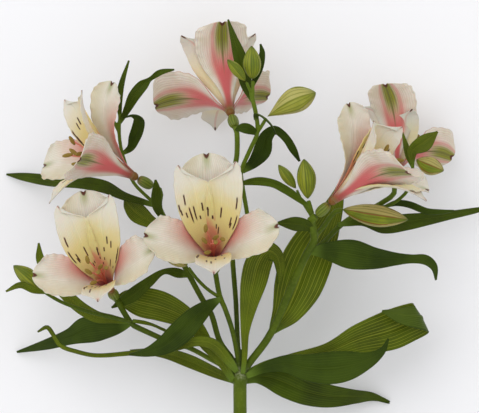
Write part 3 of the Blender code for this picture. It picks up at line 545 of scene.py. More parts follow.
# Small bracts on the stalks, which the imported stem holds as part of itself
BRACTS = {
    "bract_g_left": ("dark", (
        (8, 113.5, 55.5, 1.0, 0), (4, 115.5, 58, 2.4, 0), (1, 116, 58, 2.2, 0), (-2.2, 115, 57, 0.4, 0),
    ), 0.2, 0, 0),
    "bract_g_arch": ("dark", (
        (7.4, 120, 57, 0.9, 0), (8, 122.5, 61, 1.5, 0), (11.7, 120.5, 62.5, 1.8, 0),
        (15, 117, 61, 1.6, 0), (16.8, 113, 58.5, 0.4, 0),
    ), 0.2, 0, 0),
    "bract_g_back": ("dark", (
        (6, 136, 58.6, 0.9, 0), (8.8, 144, 54, 2.0, 0), (10.4, 151, 53.5, 1.4, 0),
        (9.6, 155.5, 53.5, 0.4, 0),
    ), 0.2, 0, 0),
    "bract_a_edge": ("fresh", (
        (-50.5, 25.5, 43.3, 0.8, 0), (-42, 24, 44.3, 1.1, 60), (-35, 21, 44.5, 1.0, 60),
        (-29.5, 19, 44.3, 0.4, 60),
    ), 0.2, 0, 0),
    "bract_a_bud": ("fresh", (
        (-91.5, 38.8, 46.5, 0.8, 0), (-97, 40, 50.5, 1.6, 0), (-103, 42.3, 51, 1.5, 0),
        (-110, 39.3, 49, 0.4, 0),
    ), 0.2, 0, 0),
    "bract_c_spike": ("middle", (
        (-56.6, 121.5, 36.8, 0.8, 0), (-57, 129, 37, 1.6, 0), (-55.8, 137, 37, 1.4, 0),
        (-52.4, 148, 36, 0.4, 0),
    ), 0.2, 0, 0),
    "bract_h_up": ("fresh", (
        (81.3, 98, 39.5, 0.9, 0), (79.2, 104, 40.5, 1.7, 0), (76.6, 114, 38, 0.4, 0),
    ), 0.2, 0, 0),
    "bract_h_right": ("fresh", (
        (81.1, 99.5, 39.9, 0.9, 0), (81.3, 105.5, 43.5, 2.6, 0), (87, 109.5, 44, 4.0, 0),
        (93, 114.4, 42, 0.4, 0),
    ), 0.2, 0, 0),
}
LEAF_THICKNESS = 0.5
LEAF_ACROSS = 20
LEAF_STEP = 1.1
LEAF_LEAST_ROWS = 24
LEAF_LEAST_WIDTH = 0.25
LEAF_VEINS = 9
VEIN_RELIEF = 0.05
CREASE = 0.12
CREASE_WIDTH = 0.12
RIPPLE = 0.25
RIPPLE_SCALE = 0.09
# Half widths from which a blade has its full vein relief and its full ripple
FULL_RELIEF = 3
FULL_RIPPLE = 4
UP = Vector((0, 0, 1))


def grid(name, across, along):
    """A flat grid from -1 to 1 both ways, with its UV map across and along"""
    bpy.ops.object.select_all(action="DESELECT")
    bpy.ops.mesh.primitive_grid_add(x_subdivisions=across, y_subdivisions=along, size=2)
    made = bpy.context.object
    made.name = name
    return made


def thickened(made, thickness, finishes):
    """Gives a sheet its thickness, with the first finish on its face and the second on its back"""
    for one in finishes:
        made.data.materials.append(one)
    solid = made.modifiers.new("Thickness", "SOLIDIFY")
    solid.thickness = thickness * MM
    solid.offset = 0
    solid.material_offset = 1
    return settle(made)


def leaf_rows(points, count):
    """Rows for a blade along a smooth path, level across it at the start and then carried along"""
    path = [smooth(points, i / count) for i in range(count + 1)]
    places = [Vector(p[:3]) for p in path]
    side = (places[1] - places[0]).cross(UP).normalized()
    rows = []
    for i in range(count + 1):
        along = (places[min(i + 1, count)] - places[max(i - 1, 0)]).normalized()
        side = (side - along * side.dot(along)).normalized()
        across = Matrix.Rotation(math.radians(path[i][4]), 3, along) @ side
        rows.append((places[i], across, across.cross(along), max(path[i][3], LEAF_LEAST_WIDTH)))
    return rows


def leaf(name, points, cup, wave, waves, finishes):
    """A blade: a grid laid along its rows, cupped, waved, veined, creased down the middle and rippled"""
    count = max(LEAF_LEAST_ROWS, round(sum(steps_of(points)) / LEAF_STEP))
    rows = leaf_rows(points, count)
    made = grid(name, LEAF_ACROSS, count)
    for vert in made.data.vertices:
        v = vert.co.x
        share = (vert.co.y + 1) / 2
        place, side, normal, half = rows[round(share * count)]
        lift = cup * half * v * v + wave * math.sin(2 * math.pi * waves * share + v) * abs(v) * v
        lift += VEIN_RELIEF * math.cos(math.pi * LEAF_VEINS * v) * min(half / FULL_RELIEF, 1)
        lift -= CREASE * half * math.exp(-((v / CREASE_WIDTH) ** 2)) * math.sin(math.pi * share)
        lift += RIPPLE * noise.noise(place * RIPPLE_SCALE + side * v) * min(half / FULL_RIPPLE, 1)
        vert.co = (place + side * (half * v) + normal * lift + FORK) * MM
    return thickened(made, LEAF_THICKNESS, finishes)


def new_group(name, vectors, numbers, result):
    """A node group with its vector and number inputs, and one number as its result"""
    made = bpy.data.node_groups.new(name, "ShaderNodeTree")
    for socket in vectors:
        made.interface.new_socket(socket, in_out="INPUT", socket_type="NodeSocketVector")
    for socket in numbers:
        made.interface.new_socket(socket, in_out="INPUT", socket_type="NodeSocketFloat")
    made.interface.new_socket(result, in_out="OUTPUT", socket_type="NodeSocketFloat")
    given = made.nodes.new("NodeGroupInput")
    put = made.nodes.new("NodeGroupOutput")
    return made, given.outputs, put.inputs[result]


def placed(tree, group, **values):
    """The result of a node group in a finish, with the group's inputs by name"""
    return add_node(tree, "ShaderNodeGroup", {"node_tree": group}, **values).outputs[0]


def off_centre(tree, across):
    """How far a point is from the line down the middle, in shares of the width"""
    return maths(tree, "ABSOLUTE", maths(tree, "SUBTRACT", across, 0.5))


def measured(tree, marks):
    """Adds the marks that the UV map gives: how far across a blade, along it and away from its middle"""
    apart = add_node(tree, "ShaderNodeSeparateXYZ", Vector=marks["uv"])
    marks["across"] = apart.outputs["X"]
    marks["along"] = apart.outputs["Y"]
    marks["middle"] = off_centre(tree, marks["across"])


def vein_group():
    """Parallel veins across a blade: a mask that is 1 on each thin vein, from the UV map"""
    made, given, mask = new_group("parallel veins", ("UV",), ("Count", "Width"), "Mask")
    apart = add_node(made, "ShaderNodeSeparateXYZ", Vector=given["UV"])
    stretched = add_node(made, "ShaderNodeMapping", Vector=given["UV"])
    stretched.inputs["Scale"].default_value = (6, 2, 1)
    wander = add_node(made, "ShaderNodeTexNoise", Vector=stretched.outputs["Vector"], Scale=1.0)
    shifted = maths(made, "MULTIPLY_ADD", wander.outputs["Fac"], 0.06, apart.outputs["X"])
    away = off_centre(made, maths(made, "FRACT", times(made, shifted, given["Count"])))
    thin = maths(made, "DIVIDE", away, given["Width"])
    feed(made, mask, maths(made, "SUBTRACT", 1.0, maths(made, "MINIMUM", thin, 1.0)))
    return made


def leaf_finish(name, base, deep, vein, strength):
    """Leaf green between two tones, with paler parallel veins, a paler midrib and a pale foot"""
    made, tree, shader, marks = finish(name, 0.45, gloss=0.1)
    measured(tree, marks)
    marks["veins"] = placed(tree, VEINS, UV=marks["uv"], Count=12, Width=0.1)
    marks["fine veins"] = placed(tree, VEINS, UV=marks["uv"], Count=33, Width=0.4)
    marks["tone"] = cloud(tree, marks["place"], 55)
    marks["specks"] = cloud(tree, marks["place"], 1200, 4)
    coloured(tree, shader, base, marks, (
        (deep, 1, ("tone", 0.3, 0.7)),
        (vein, strength * 0.35, ("fine veins",)),
        (vein, strength, ("veins",)),
        (vein, strength * 0.4, ("middle", 0.03, 0.005)),
        (paint(96, 118, 42), 1, ("along", 0.12, 0.0)),
        (deep, 0.2, ("specks", 0.5, 0.8)),
    ))
    ribbed = maths(tree, "MULTIPLY_ADD", marks["veins"], 0.6, times(tree, marks["fine veins"], 0.3))
    raised(tree, shader, ribbed, 0.0002)
    return made


VEINS = vein_group()
LEAF_TONES = {
    "fresh": (paint(76, 94, 2), paint(48, 63, 0), paint(158, 164, 56), 0.75),
    "middle": (paint(62, 80, 6), paint(42, 56, 0), paint(112, 124, 40), 0.6),
    "dark": (paint(56, 72, 14), paint(36, 50, 4), paint(80, 96, 30), 0.5),
}
leaf_faces = {tone: leaf_finish("leaf face, " + tone, *colours) for tone, colours in LEAF_TONES.items()}
leaf_back = leaf_finish("leaf underside", paint(72, 88, 28), paint(58, 74, 18), paint(106, 120, 48), 0.45)


def leaf_piece(name, values, node):
    """A blade in its finish, in place of a node"""
    tone, points, cup, wave, waves = values
    made = leaf(name, points, cup, wave, waves, (leaf_faces[tone], leaf_back))
    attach(made, "root")
    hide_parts(node)


for name, values in LEAVES.items():
    leaf_piece(name + "_blade", values, name)
for name, values in BRACTS.items():
    leaf_piece(name, values, "stem")


# Ovaries
# The green ovary sits under each bloom. It is a small six-ribbed capsule, flushed red where the
# tepals leave it.
ROOT_LENGTH = 4.8
OVARY_LENGTH = 8.0
OVARY_RADIUS = 2.5
OVARY_RIBS = 6
RIB_DEPTH = 0.1
RIB_LEVEL = 0.6
BLUNT = 0.55
OVARY_GAP = 0.3


def turned_to(direction):
    """The turn that takes Z to a direction"""
    return direction.to_track_quat("Z", "Y").to_matrix()


def ovary(name, bloom):
    """A ribbed capsule with blunt ends, in line with its bloom"""
    middle = Vector(BLOOMS[bloom][0]) - facing_of(bloom) * (ROOT_LENGTH / 2 + OVARY_GAP + OVARY_LENGTH / 2)
    turn = turned_to(facing_of(bloom))
    made = ball(name, 48, 24)
    for vert in made.data.vertices:
        around = math.atan2(vert.co.y, vert.co.x)
        rib = 1 + RIB_DEPTH * (abs(math.cos(OVARY_RIBS * around / 2)) - RIB_LEVEL)
        swell = OVARY_RADIUS * rib * max(1 - vert.co.z**2, 0) ** (BLUNT / 2)
        out = Vector((math.cos(around), math.sin(around), 0)) * swell
        spot = out + Vector((0, 0, vert.co.z * OVARY_LENGTH / 2))
        vert.co = (middle + turn @ spot + FORK) * MM
    return settle(made)


def ovary_finish():
    """Green with paler ribs, and browner where the tepals leave it"""
    made, tree, shader, marks = finish("ovary green", 0.4)
    measured(tree, marks)
    marks["ribs"] = placed(tree, VEINS, UV=marks["uv"], Count=12, Width=0.5)
    coloured(tree, shader, paint(74, 90, 20), marks, (
        (paint(112, 122, 40), 1, ("ribs",)),
        (paint(120, 70, 34), 0.5, ("along", 0.6, 1.0)),
    ))
    raised(tree, shader, cloud(tree, marks["place"], 1500), 0.0002)
    return made


ovary_green = ovary_finish()
for bloom in BLOOMS:
    capsule = ovary(bloom + "_capsule", bloom)
    capsule.data.materials.append(ovary_green)
    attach(capsule, "root")
    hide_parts(bloom + "_ovary")


# Tepals
# Each bloom has three broad outer tepals with a notched, dark-tipped end and three narrow inner ones
# with a point. They leave the ovary as narrow claws and open along an arc, one thin petal each.
# Kind, turn about the axis at root and tip, angle from the axis at root and tip, length, half width, roll
TEPALS = {
    "top": ("outer", 0, 0, 14, 84, 56, 12.8, 0),
    "right": ("outer", 108, 79, 12, 74, 50, 11.3, 0),
    "left": ("outer", -108, -79, 12, 74, 50, 11.3, 0),
    "inner_right": ("inner", 45, -8, 6, 78, 55, 8.4, 0),
    "inner_left": ("inner", -45, 8, 6, 78, 55, 8.4, 0),
    "low": ("inner", 180, 180, 8, 58, 47, 8.5, 0),
}
OWN_TEPALS = {
    "bloom_c": {
        "top": ("outer", -5, -5, 12, 92, 52, 8.5, 45),
        "right": ("outer", 112, 104, 10, 62, 48, 14.0, 0),
        "left": ("outer", -118, -122, 10, 78, 50, 12.5, 0),
        "inner_right": ("inner", 40, 18, 6, 54, 60, 6.5, 0),
        "inner_left": ("inner", -45, -36, 6, 64, 54, 8.0, 0),
        "low": ("inner", 180, 178, 8, 88, 50, 5.5, 0),
    },
    "bloom_d": {
        "top": ("outer", 0, 0, 16, 92, 50, 14.0, 0),
        "right": ("outer", 110, 106, 18, 104, 47, 17.0, 0),
        "left": ("outer", -112, -110, 18, 92, 35, 15.0, 0),
        "inner_right": ("inner", 50, 14, 10, 76, 49, 7.0, 0),
        "inner_left": ("inner", -50, -14, 10, 74, 46, 7.0, 0),
        "low": ("inner", 176, 178, 14, 98, 47, 7.5, 0),
    },
    "bloom_e": {
        "top": ("outer", 4, 0, 10, 70, 48, 8.2, -65),
        "right": ("outer", 142, 158, 10, 76, 47, 12.0, 0),
        "left": ("outer", -122, -130, 10, 58, 53, 14.5, 0),
        "inner_right": ("inner", 45, 50, 6, 32, 47, 9.0, 0),
        "inner_left": ("inner", -40, -20, 6, 36, 48, 9.0, 0),
        "low": ("inner", 184, 180, 9, 78, 48, 7.0, 0),
    },
    "bloom_f": {
        "top": ("outer", 0, 0, 14, 84, 52, 14.0, 0),
        "inner_right": ("inner", 45, 32, 6, 80, 46, 8.5, 0),
        "inner_left": ("inner", -40, -4, 6, 78, 36, 7.5, 0),
        "right": ("outer", 126, 120, 16, 96, 44, 11.5, 0),
        "left": ("outer", -136, -146, 16, 96, 44, 14.0, -55),
        "low": ("inner", 180, 180, 8, 70, 40, 7.0, 0),
    },
}
# Share of the greatest half width at equal steps from the root to the tip
OUTLINES = {
    "outer": (0.12, 0.17, 0.3, 0.52, 0.78, 0.95, 1.0, 0.95, 0.66),
    "inner": (0.18, 0.27, 0.42, 0.64, 0.86, 0.98, 1.0, 0.88, 0.2),
}
# Cup, wave, depth of the notch at the tip, how far its corners are drawn back, ruffle of the edge
TEPAL_FORM = {"outer": (0.25, 0.7, 0.8, 3.9, 0.35), "inner": (0.25, 0, 0, 3.4, 0.15)}
TEPAL_ROWS = 72
TEPAL_ACROSS = 30
TEPAL_THICKNESS = 0.4
TEPAL_LEAST_WIDTH = 0.3
ROOT_WIDTH = 2.1
ROOT_RADIUS = 1.7
INNER_ROOT = 0.7
OPENING = 1.2
TIP_START = 0.857
NOTCH_WIDTH = 0.09
# Where the inner tepals are widest, and how far their ends lean outwards from there
WIDEST = 0.7
TIP_LEAN = 1.35
# Share of the half width where the ruffled edge begins
EDGE_FROM = 0.55
# Shares of the length where the narrow claw ends and where the blade has its full relief
BLADE_FROM = 0.3
BLADE_FULL = 0.7
TEPAL_WAVES = 2
RUFFLES = 11
UNEVEN = 0.5
MIDRIB = 0.25
MIDRIB_WIDTH = 0.08
FRINGE = 0.05
STREAK_WIDTH = 0.023
STREAK_CHANCE = 0.38
STREAK_DRIFT = 0.45
STREAK_LEAST = 0.05
STREAK_LONGER = 0.18
# Two sets of streaks: mark, number of lines, step of the seed, first start and spread of the starts
STREAK_LINES = (("many streaks", 11, 0, 0.3, 0.36), ("fewer streaks", 8, 16, 0.38, 0.26))


def bloom_frame(bloom):
    """The axis of a bloom, the direction of its top tepal and the one to the side of both"""
    facing = facing_of(bloom)
    upward = Vector(BLOOMS[bloom][2])
    upward = (upward - facing * upward.dot(facing)).normalized()
    return facing, upward, upward.cross(facing)


def radial(axes, azimuth):
    """The direction out from the axis at an angle from the top tepal"""
    return axes[1] * math.cos(math.radians(azimuth)) + axes[2] * math.sin(math.radians(azimuth))


def tepal_rows(axes, root, size, values):
    """Rows for a tepal that leaves the axis of the bloom and opens outwards along an arc"""
    kind, azimuth_root, azimuth_tip, angle_root, angle_tip, length, half, roll = values
    lean = TIP_LEAN * math.sin(math.radians(azimuth_root)) if kind == "inner" else 0
    outline = [(i, 0, 0, w) for i, w in enumerate(OUTLINES[kind])]
    place = root + radial(axes, azimuth_root) * ROOT_RADIUS * (1 if kind == "outer" else INNER_ROOT)
    rows = []
    for i in range(TEPAL_ROWS + 1):
        share = i / TEPAL_ROWS
        outward = radial(axes, azimuth_root + (azimuth_tip - azimuth_root) * share)
        angle = math.radians(angle_root + (angle_tip - angle_root) * share**OPENING)
        along = axes[0] * math.cos(angle) + outward * math.sin(angle)
        inward = axes[0] * math.sin(angle) - outward * math.cos(angle)
        width = smooth(outline, share)[3] * half * size
        turn = Matrix.Rotation(math.radians(roll) * share, 3, along)
        side = turn @ along.cross(inward)
        spare = half * size - width if share > WIDEST else 0
        rows.append((place + side * lean * spare, side, turn @ inward, max(width, TEPAL_LEAST_WIDTH)))
        place += along * length * size / TEPAL_ROWS
    return rows


def tepal(name, bloom, key, values, finishes):
    """A petal: a grid laid along its rows, with ruffled edges, a midrib and a notch at the tip"""
    rows = tepal_rows(bloom_frame(bloom), Vector(BLOOMS[bloom][0]), BLOOMS[bloom][3], values)
    cup, wave, notch, corner, ruffle = TEPAL_FORM[values[0]]
    made = grid(name, TEPAL_ACROSS, TEPAL_ROWS)
    seed = rows[-1][0] * 0.37
    for vert in made.data.vertices:
        v = vert.co.x
        share = (vert.co.y + 1) / 2
        place, side, normal, half = rows[round(share * TEPAL_ROWS)]
        edge = max(abs(v) - EDGE_FROM, 0) / (1 - EDGE_FROM)
        blade = min(max((share - BLADE_FROM) / (BLADE_FULL - BLADE_FROM), 0), 1)
        lift = cup * half * v * v + wave * math.sin(2 * math.pi * TEPAL_WAVES * share + v) * abs(v) * v
        lift += ruffle * edge**2 * blade * math.sin(2 * math.pi * RUFFLES * share + 2 * v + seed.x)
        lift += UNEVEN * noise.noise(seed + Vector((share * 3, v * 1.3, 0))) * blade
        lift -= MIDRIB * math.exp(-((v / MIDRIB_WIDTH) ** 2)) * blade
        fringe = 1 + FRINGE * edge * blade * noise.noise(seed + Vector((share * 14, v, 5)))
        tip = max(share - TIP_START, 0) / (1 - TIP_START)
        back = tip * (notch * math.exp(-((v / NOTCH_WIDTH) ** 2)) + corner * v * v)
        along = normal.cross(side)
        vert.co = (place + side * (half * v * fringe) + normal * lift - along * back + FORK) * MM
    if key in ("right", "inner_left"):
        for loop in made.data.uv_layers.active.data:
            loop.uv.x = 1 - loop.uv.x
    return thickened(made, TEPAL_THICKNESS, finishes)


def tip_group():
    """How far a point of a tepal is from the middle of its tip, in shares of its length"""
    made, given, distance = new_group("tip distance", ("UV",), (), "Distance")
    apart = add_node(made, "ShaderNodeSeparateXYZ", Vector=given["UV"])
    sideways = maths(made, "POWER", times(made, off_centre(made, apart.outputs["X"]), 0.5), 2.0)
    lengthways = maths(made, "POWER", maths(made, "SUBTRACT", 1.0, apart.outputs["Y"]), 2.0)
    feed(made, distance, maths(made, "SQRT", maths(made, "ADD", sideways, lengthways)))
    return made


def streak_group():
    """Dark dashes along the veins, each line with its own start, length and chance to be there"""
    made, given, mask = new_group("streaks", ("UV", "Place"), ("Count", "Seed", "First", "Spread"), "Mask")
    apart = add_node(made, "ShaderNodeSeparateXYZ", Vector=given["UV"])
    scaled = times(made, apart.outputs["X"], given["Count"])
    line = maths(made, "ADD", maths(made, "FLOOR", scaled), given["Seed"])
    chances = add_node(made, "ShaderNodeTexWhiteNoise", {"noise_dimensions": "1D"}, W=line)
    chance = add_node(made, "ShaderNodeSeparateColor", Color=chances.outputs["Color"]).outputs
    drift = times(made, maths(made, "SUBTRACT", cloud(made, given["Place"], 25, 1), 0.5), STREAK_DRIFT)
    first = maths(made, "MULTIPLY_ADD", chance["Red"], given["Spread"], given["First"])
    square = maths(made, "POWER", chance["Green"], 2.0)
    length = maths(made, "MULTIPLY_ADD", square, STREAK_LONGER, STREAK_LEAST)
    beyond = maths(made, "SUBTRACT", apart.outputs["Y"], maths(made, "ADD", first, drift))
    run = maths(made, "DIVIDE", beyond, length)
    dash = times(made, rising(made, run, 0.0, 0.2), rising(made, run, 1.0, 0.8))
    away = maths(made, "DIVIDE", off_centre(made, maths(made, "FRACT", scaled)), given["Count"])
    thin = rising(made, away, 1.3 * STREAK_WIDTH, 0.6 * STREAK_WIDTH)
    there = maths(made, "GREATER_THAN", chance["Blue"], STREAK_CHANCE)
    feed(made, mask, times(made, thin, dash, there))
    return made


def petal_base(name):
    """What every tepal finish starts from, with the marks that its colours go by"""
    made, tree, shader, marks = finish(name, 0.5, sheen=0.15, subsurface=0.12)
    measured(tree, marks)
    marks["tip"] = placed(tree, TIP_DISTANCE, UV=marks["uv"])
    marks["veins"] = placed(tree, VEINS, UV=marks["uv"], Count=24, Width=0.45)
    marks["patches"] = cloud(tree, marks["place"], 160)
    return made, tree, shader, marks


TIP_DISTANCE = tip_group()
STREAKS = streak_group()
CREAM = paint(216, 211, 196)
YELLOW = paint(216, 198, 128)
PINK = paint(204, 136, 124)
ROSE = paint(196, 92, 88)
SALMON = paint(208, 118, 98)
THROAT = paint(132, 52, 34)
TIP_GREEN = paint(126, 138, 50)
TIP_DARK = paint(82, 40, 16)
STREAK = paint(64, 24, 2)


def outer_face_finish():
    """Cream, flushed pink and rose along the upper margin, with a green and a dark spot at the notch"""
    made, tree, shader, marks = petal_base("outer tepal, face")
    coloured(tree, shader, CREAM, marks, (
        (paint(208, 202, 184), 1, ("patches", 0.35, 0.7)),
        (paint(200, 190, 148), 0.5, ("across", 0.5, 0.1), ("along", 0.2, 0.5)),
        (PINK, 0.95, ("across", 0.3, 0.85), ("along", 0.92, 0.45)),
        (ROSE, 0.8, ("across", 0.5, 0.95), ("along", 0.72, 0.35)),
        (ROSE, 0.85, ("along", 0.36, 0.1)),
        (THROAT, 1, ("along", 0.16, 0.02)),
        (paint(172, 156, 128), 0.26, ("veins",)),
        (TIP_GREEN, 0.6, ("tip", 0.2, 0.03), ("middle", 0.16, 0.02)),
        (TIP_DARK, 1, ("tip", 0.05, 0.03)),
    ))
    raised(tree, shader, marks["veins"], 0.0002)
    return made


def outer_back_finish():
    """Cream margins on a rose band that turns green with dark veins towards the tip"""
    made, tree, shader, marks = petal_base("outer tepal, back")
    coloured(tree, shader, paint(216, 210, 194), marks, (
        (paint(206, 199, 176), 1, ("patches", 0.35, 0.7)),
        (PINK, 0.85, ("middle", 0.42, 0.18), ("along", 0.95, 0.4)),
        (paint(204, 88, 90), 1, ("middle", 0.33, 0.12), ("along", 0.74, 0.4)),
        (paint(186, 84, 78), 0.5, ("middle", 0.25, 0.19), ("middle", 0.1, 0.17), ("along", 0.35, 0.6)),
        (paint(132, 142, 26), 1, ("middle", 0.18, 0.07), ("along", 0.52, 0.8)),
        (paint(78, 92, 8), 0.9, ("veins",), ("middle", 0.18, 0.07), ("along", 0.52, 0.8)),
        (paint(78, 92, 14), 0.9, ("middle", 0.03, 0.005), ("along", 0.35, 0.65)),
        (paint(150, 60, 44), 1, ("along", 0.22, 0.04)),
        (paint(112, 96, 36), 1, ("along", 0.08, 0.0)),
        (paint(172, 122, 102), 0.26, ("veins",)),
        (TIP_DARK, 1, ("tip", 0.05, 0.03)),
    ))
    raised(tree, shader, marks["veins"], 0.0003)
    return made


def inner_face_finish(name, seed):
    """Cream end, yellow middle and salmon throat, with the dark streaks that the seed draws"""
    made, tree, shader, marks = petal_base(name)
    uneven = maths(tree, "SUBTRACT", marks["patches"], 0.5)
    edge = maths(tree, "MULTIPLY_ADD", uneven, 0.16, marks["along"])
    marks["cream edge"] = maths(tree, "MULTIPLY_ADD", marks["across"], 0.14, edge)
    marks["salmon edge"] = maths(tree, "MULTIPLY_ADD", marks["across"], 0.3, edge)
    for mark, count, draw, first, spread in STREAK_LINES:
        lines = {"Count": count, "Seed": seed + draw, "First": first, "Spread": spread}
        marks[mark] = placed(tree, STREAKS, UV=marks["uv"], Place=marks["place"], **lines)
    coloured(tree, shader, YELLOW, marks, (
        (CREAM, 1, ("cream edge", 0.64, 1.02)),
        (SALMON, 0.85, ("salmon edge", 0.58, 0.42)),
        (ROSE, 1, ("along", 0.24, 0.08)),
        (THROAT, 1, ("along", 0.12, 0.0)),
        (paint(176, 156, 104), 0.22, ("veins",)),
        (STREAK, 1, ("many streaks",)),
        (STREAK, 1, ("fewer streaks",)),
        (PINK, 0.6, ("tip", 0.09, 0.03)),
        (TIP_DARK, 1, ("tip", 0.05, 0.025)),
    ))
    raised(tree, shader, marks["veins"], 0.0002)
    return made


def inner_back_finish():
    """Pale yellow to cream, with a pink midrib"""
    made, tree, shader, marks = petal_base("inner tepal, back")
    marks["cream edge"] = maths(tree, "MULTIPLY_ADD", marks["patches"], 0.16, marks["along"])
    coloured(tree, shader, paint(226, 214, 168), marks, (
        (CREAM, 1, ("cream edge", 0.6, 0.95)),
        (PINK, 0.45, ("middle", 0.05, 0.02), ("along", 0.35, 0.7)),
        (paint(170, 110, 80), 1, ("along", 0.3, 0.05)),
        (paint(180, 164, 128), 0.14, ("veins",)),
        (TIP_DARK, 1, ("tip", 0.06, 0.03)),
    ))
    raised(tree, shader, marks["veins"], 0.0002)
    return made


def root_finish():
    """Brown-green with red patches, where the tepals are joined"""
    made, tree, shader, marks = finish("tepal root", 0.45)
    marks["patches"] = cloud(tree, marks["place"], 500)
    coloured(tree, shader, paint(104, 88, 30), marks, ((paint(122, 58, 30), 1, ("patches",)),))
    return made


STREAK_SEEDS = {"first": 7.0, "second": 57.0, "third": 107.0}
outer_face = outer_face_finish()
outer_back = outer_back_finish()
inner_faces = [inner_face_finish("inner tepal, face, " + draw, seed) for draw, seed in STREAK_SEEDS.items()]
inner_back = inner_back_finish()
root_red = root_finish()
for number, bloom in enumerate(BLOOMS):
    inner = number
    for key, values in {**TEPALS, **OWN_TEPALS.get(bloom, {})}.items():
        if values[0] == "inner":
            inner += 1
            finishes = (inner_faces[inner % len(inner_faces)], inner_back)
        else:
            finishes = (outer_face, outer_back)
        petal = tepal(f"{bloom}_tepal_{key}", bloom, key, values, finishes)
        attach(petal, "root")
        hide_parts(bloom + "_tepals")
    sizes = (ROOT_WIDTH, ROOT_WIDTH, ROOT_LENGTH / 2)
    turn = turned_to(facing_of(bloom))
    cup = settle(globe(bloom + "_tepal_root", BLOOMS[bloom][0], sizes, turn, 32, 16))
    cup.data.materials.append(root_red)
    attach(cup, "root")
    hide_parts(bloom + "_tepals")


# Stamens
# Six arched salmon filaments rise from the throat, each with a long olive anther of two lobes. The
# style stands between them and ends in three short arms.
FILAMENTS = 6
FIRST_FILAMENT = 30
FILAMENT_TURN = 60
FILAMENT_RADIUS = 0.42
FILAMENT_DROOP = 4
FILAMENT_FOOT = 3.7
FILAMENT_STEPS = (0, 0.35, 0.7, 1)
FILAMENT_REACH = 25
STYLE_REACH = 24
REACH_STEP = 4
FILAMENT_SPREAD = 3.5
STYLE_SPREAD = 0.5
SPREAD_STEP = 1.5
TAPER = 0.8
ARMS = 3
ARM_SPREAD = 1.2
ARM_REACH = 1.4
ARM_END = 0.25
ANTHER = (1.0, 0.8, 2.6)
ANTHER_GROOVE = 0.3
ANTHER_LEAN = 0.5
ANTHER_ROUGHNESS = 0.06


def anther(name, place, along):
    """A long pollen sac, drawn in along a groove between its two lobes"""
    turn = turned_to(along)
    made = ball(name, 20, 14)
    for vert in made.data.vertices:
        groove = 1 - ANTHER_GROOVE * math.exp(-((vert.co.x / ANTHER_GROOVE) ** 2)) * abs(vert.co.y)
        rough = 1 + ANTHER_ROUGHNESS * noise.noise(vert.co * 4 + place)
        spot = Vector((vert.co.x * ANTHER[0], vert.co.y * ANTHER[1] * groove, vert.co.z * ANTHER[2]))
        vert.co = (place + turn @ (spot * rough) + FORK) * MM
    return made


def filament_finish():
    """Salmon pink, paler in patches"""
    made, tree, shader, marks = finish("filament", 0.4, subsurface=0.1)
    marks["patches"] = cloud(tree, marks["place"], 250)
    coloured(tree, shader, paint(206, 104, 92), marks, ((paint(222, 140, 118), 1, ("patches",)),))
    return made


def anther_finish():
    """Dull olive with grains of pollen"""
    made, tree, shader, marks = finish("anther", 0.75)
    marks["grains"] = cloud(tree, marks["place"], 2600, 2)
    coloured(tree, shader, paint(112, 84, 34), marks, ((paint(160, 138, 66), 1, ("grains",)),))
    raised(tree, shader, marks["grains"], 0.0003)
    return made


filament_pink = filament_finish()
anther_olive = anther_finish()
for bloom in BLOOMS:
    axes = bloom_frame(bloom)
    size = BLOOMS[bloom][3]
    foot = Vector(BLOOMS[bloom][0]) + axes[0] * FILAMENT_FOOT
    threads = []
    sacs = []
    for i in range(FILAMENTS + 1):
        style = i == FILAMENTS
        azimuth = FIRST_FILAMENT + FILAMENT_TURN * i
        reach = (STYLE_REACH if style else FILAMENT_REACH + REACH_STEP * (i % 3)) * size
        spread = STYLE_SPREAD if style else FILAMENT_SPREAD + SPREAD_STEP * (i % 2)
        bend = radial(axes, azimuth) * spread - axes[1] * FILAMENT_DROOP * size
        route = [tuple(foot + axes[0] * reach * t + bend * t * t) for t in FILAMENT_STEPS]
        end_radius = FILAMENT_RADIUS * TAPER
        threads.append(thread(f"{bloom}_thread_{i}", route, FILAMENT_RADIUS, end_radius, 1.5, 10))
        tip = Vector(route[-1])
        if style:
            for arm in range(ARMS):
                away = radial(axes, 360 / ARMS * arm) * ARM_SPREAD + axes[0] * ARM_REACH
                end = [tuple(tip), tuple(tip + away * 0.6), tuple(tip + away)]
                threads.append(thread(f"{bloom}_arm_{arm}", end, end_radius, ARM_END, 0.5, 8))
        else:
            sideways = radial(axes, azimuth + FILAMENT_TURN) * ANTHER_LEAN
            lean = (tip - Vector(route[2])).normalized() + sideways
            sacs.append(anther(f"{bloom}_sac_{i}", tip, lean.normalized()))
    filaments = settle(joined(bloom + "_filaments", threads))
    filaments.data.materials.clear()
    filaments.data.materials.append(filament_pink)
    anthers = settle(joined(bloom + "_anthers", sacs))
    anthers.data.materials.append(anther_olive)
    for made in (filaments, anthers):
        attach(made, "root")
        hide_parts(bloom + "_stamens")


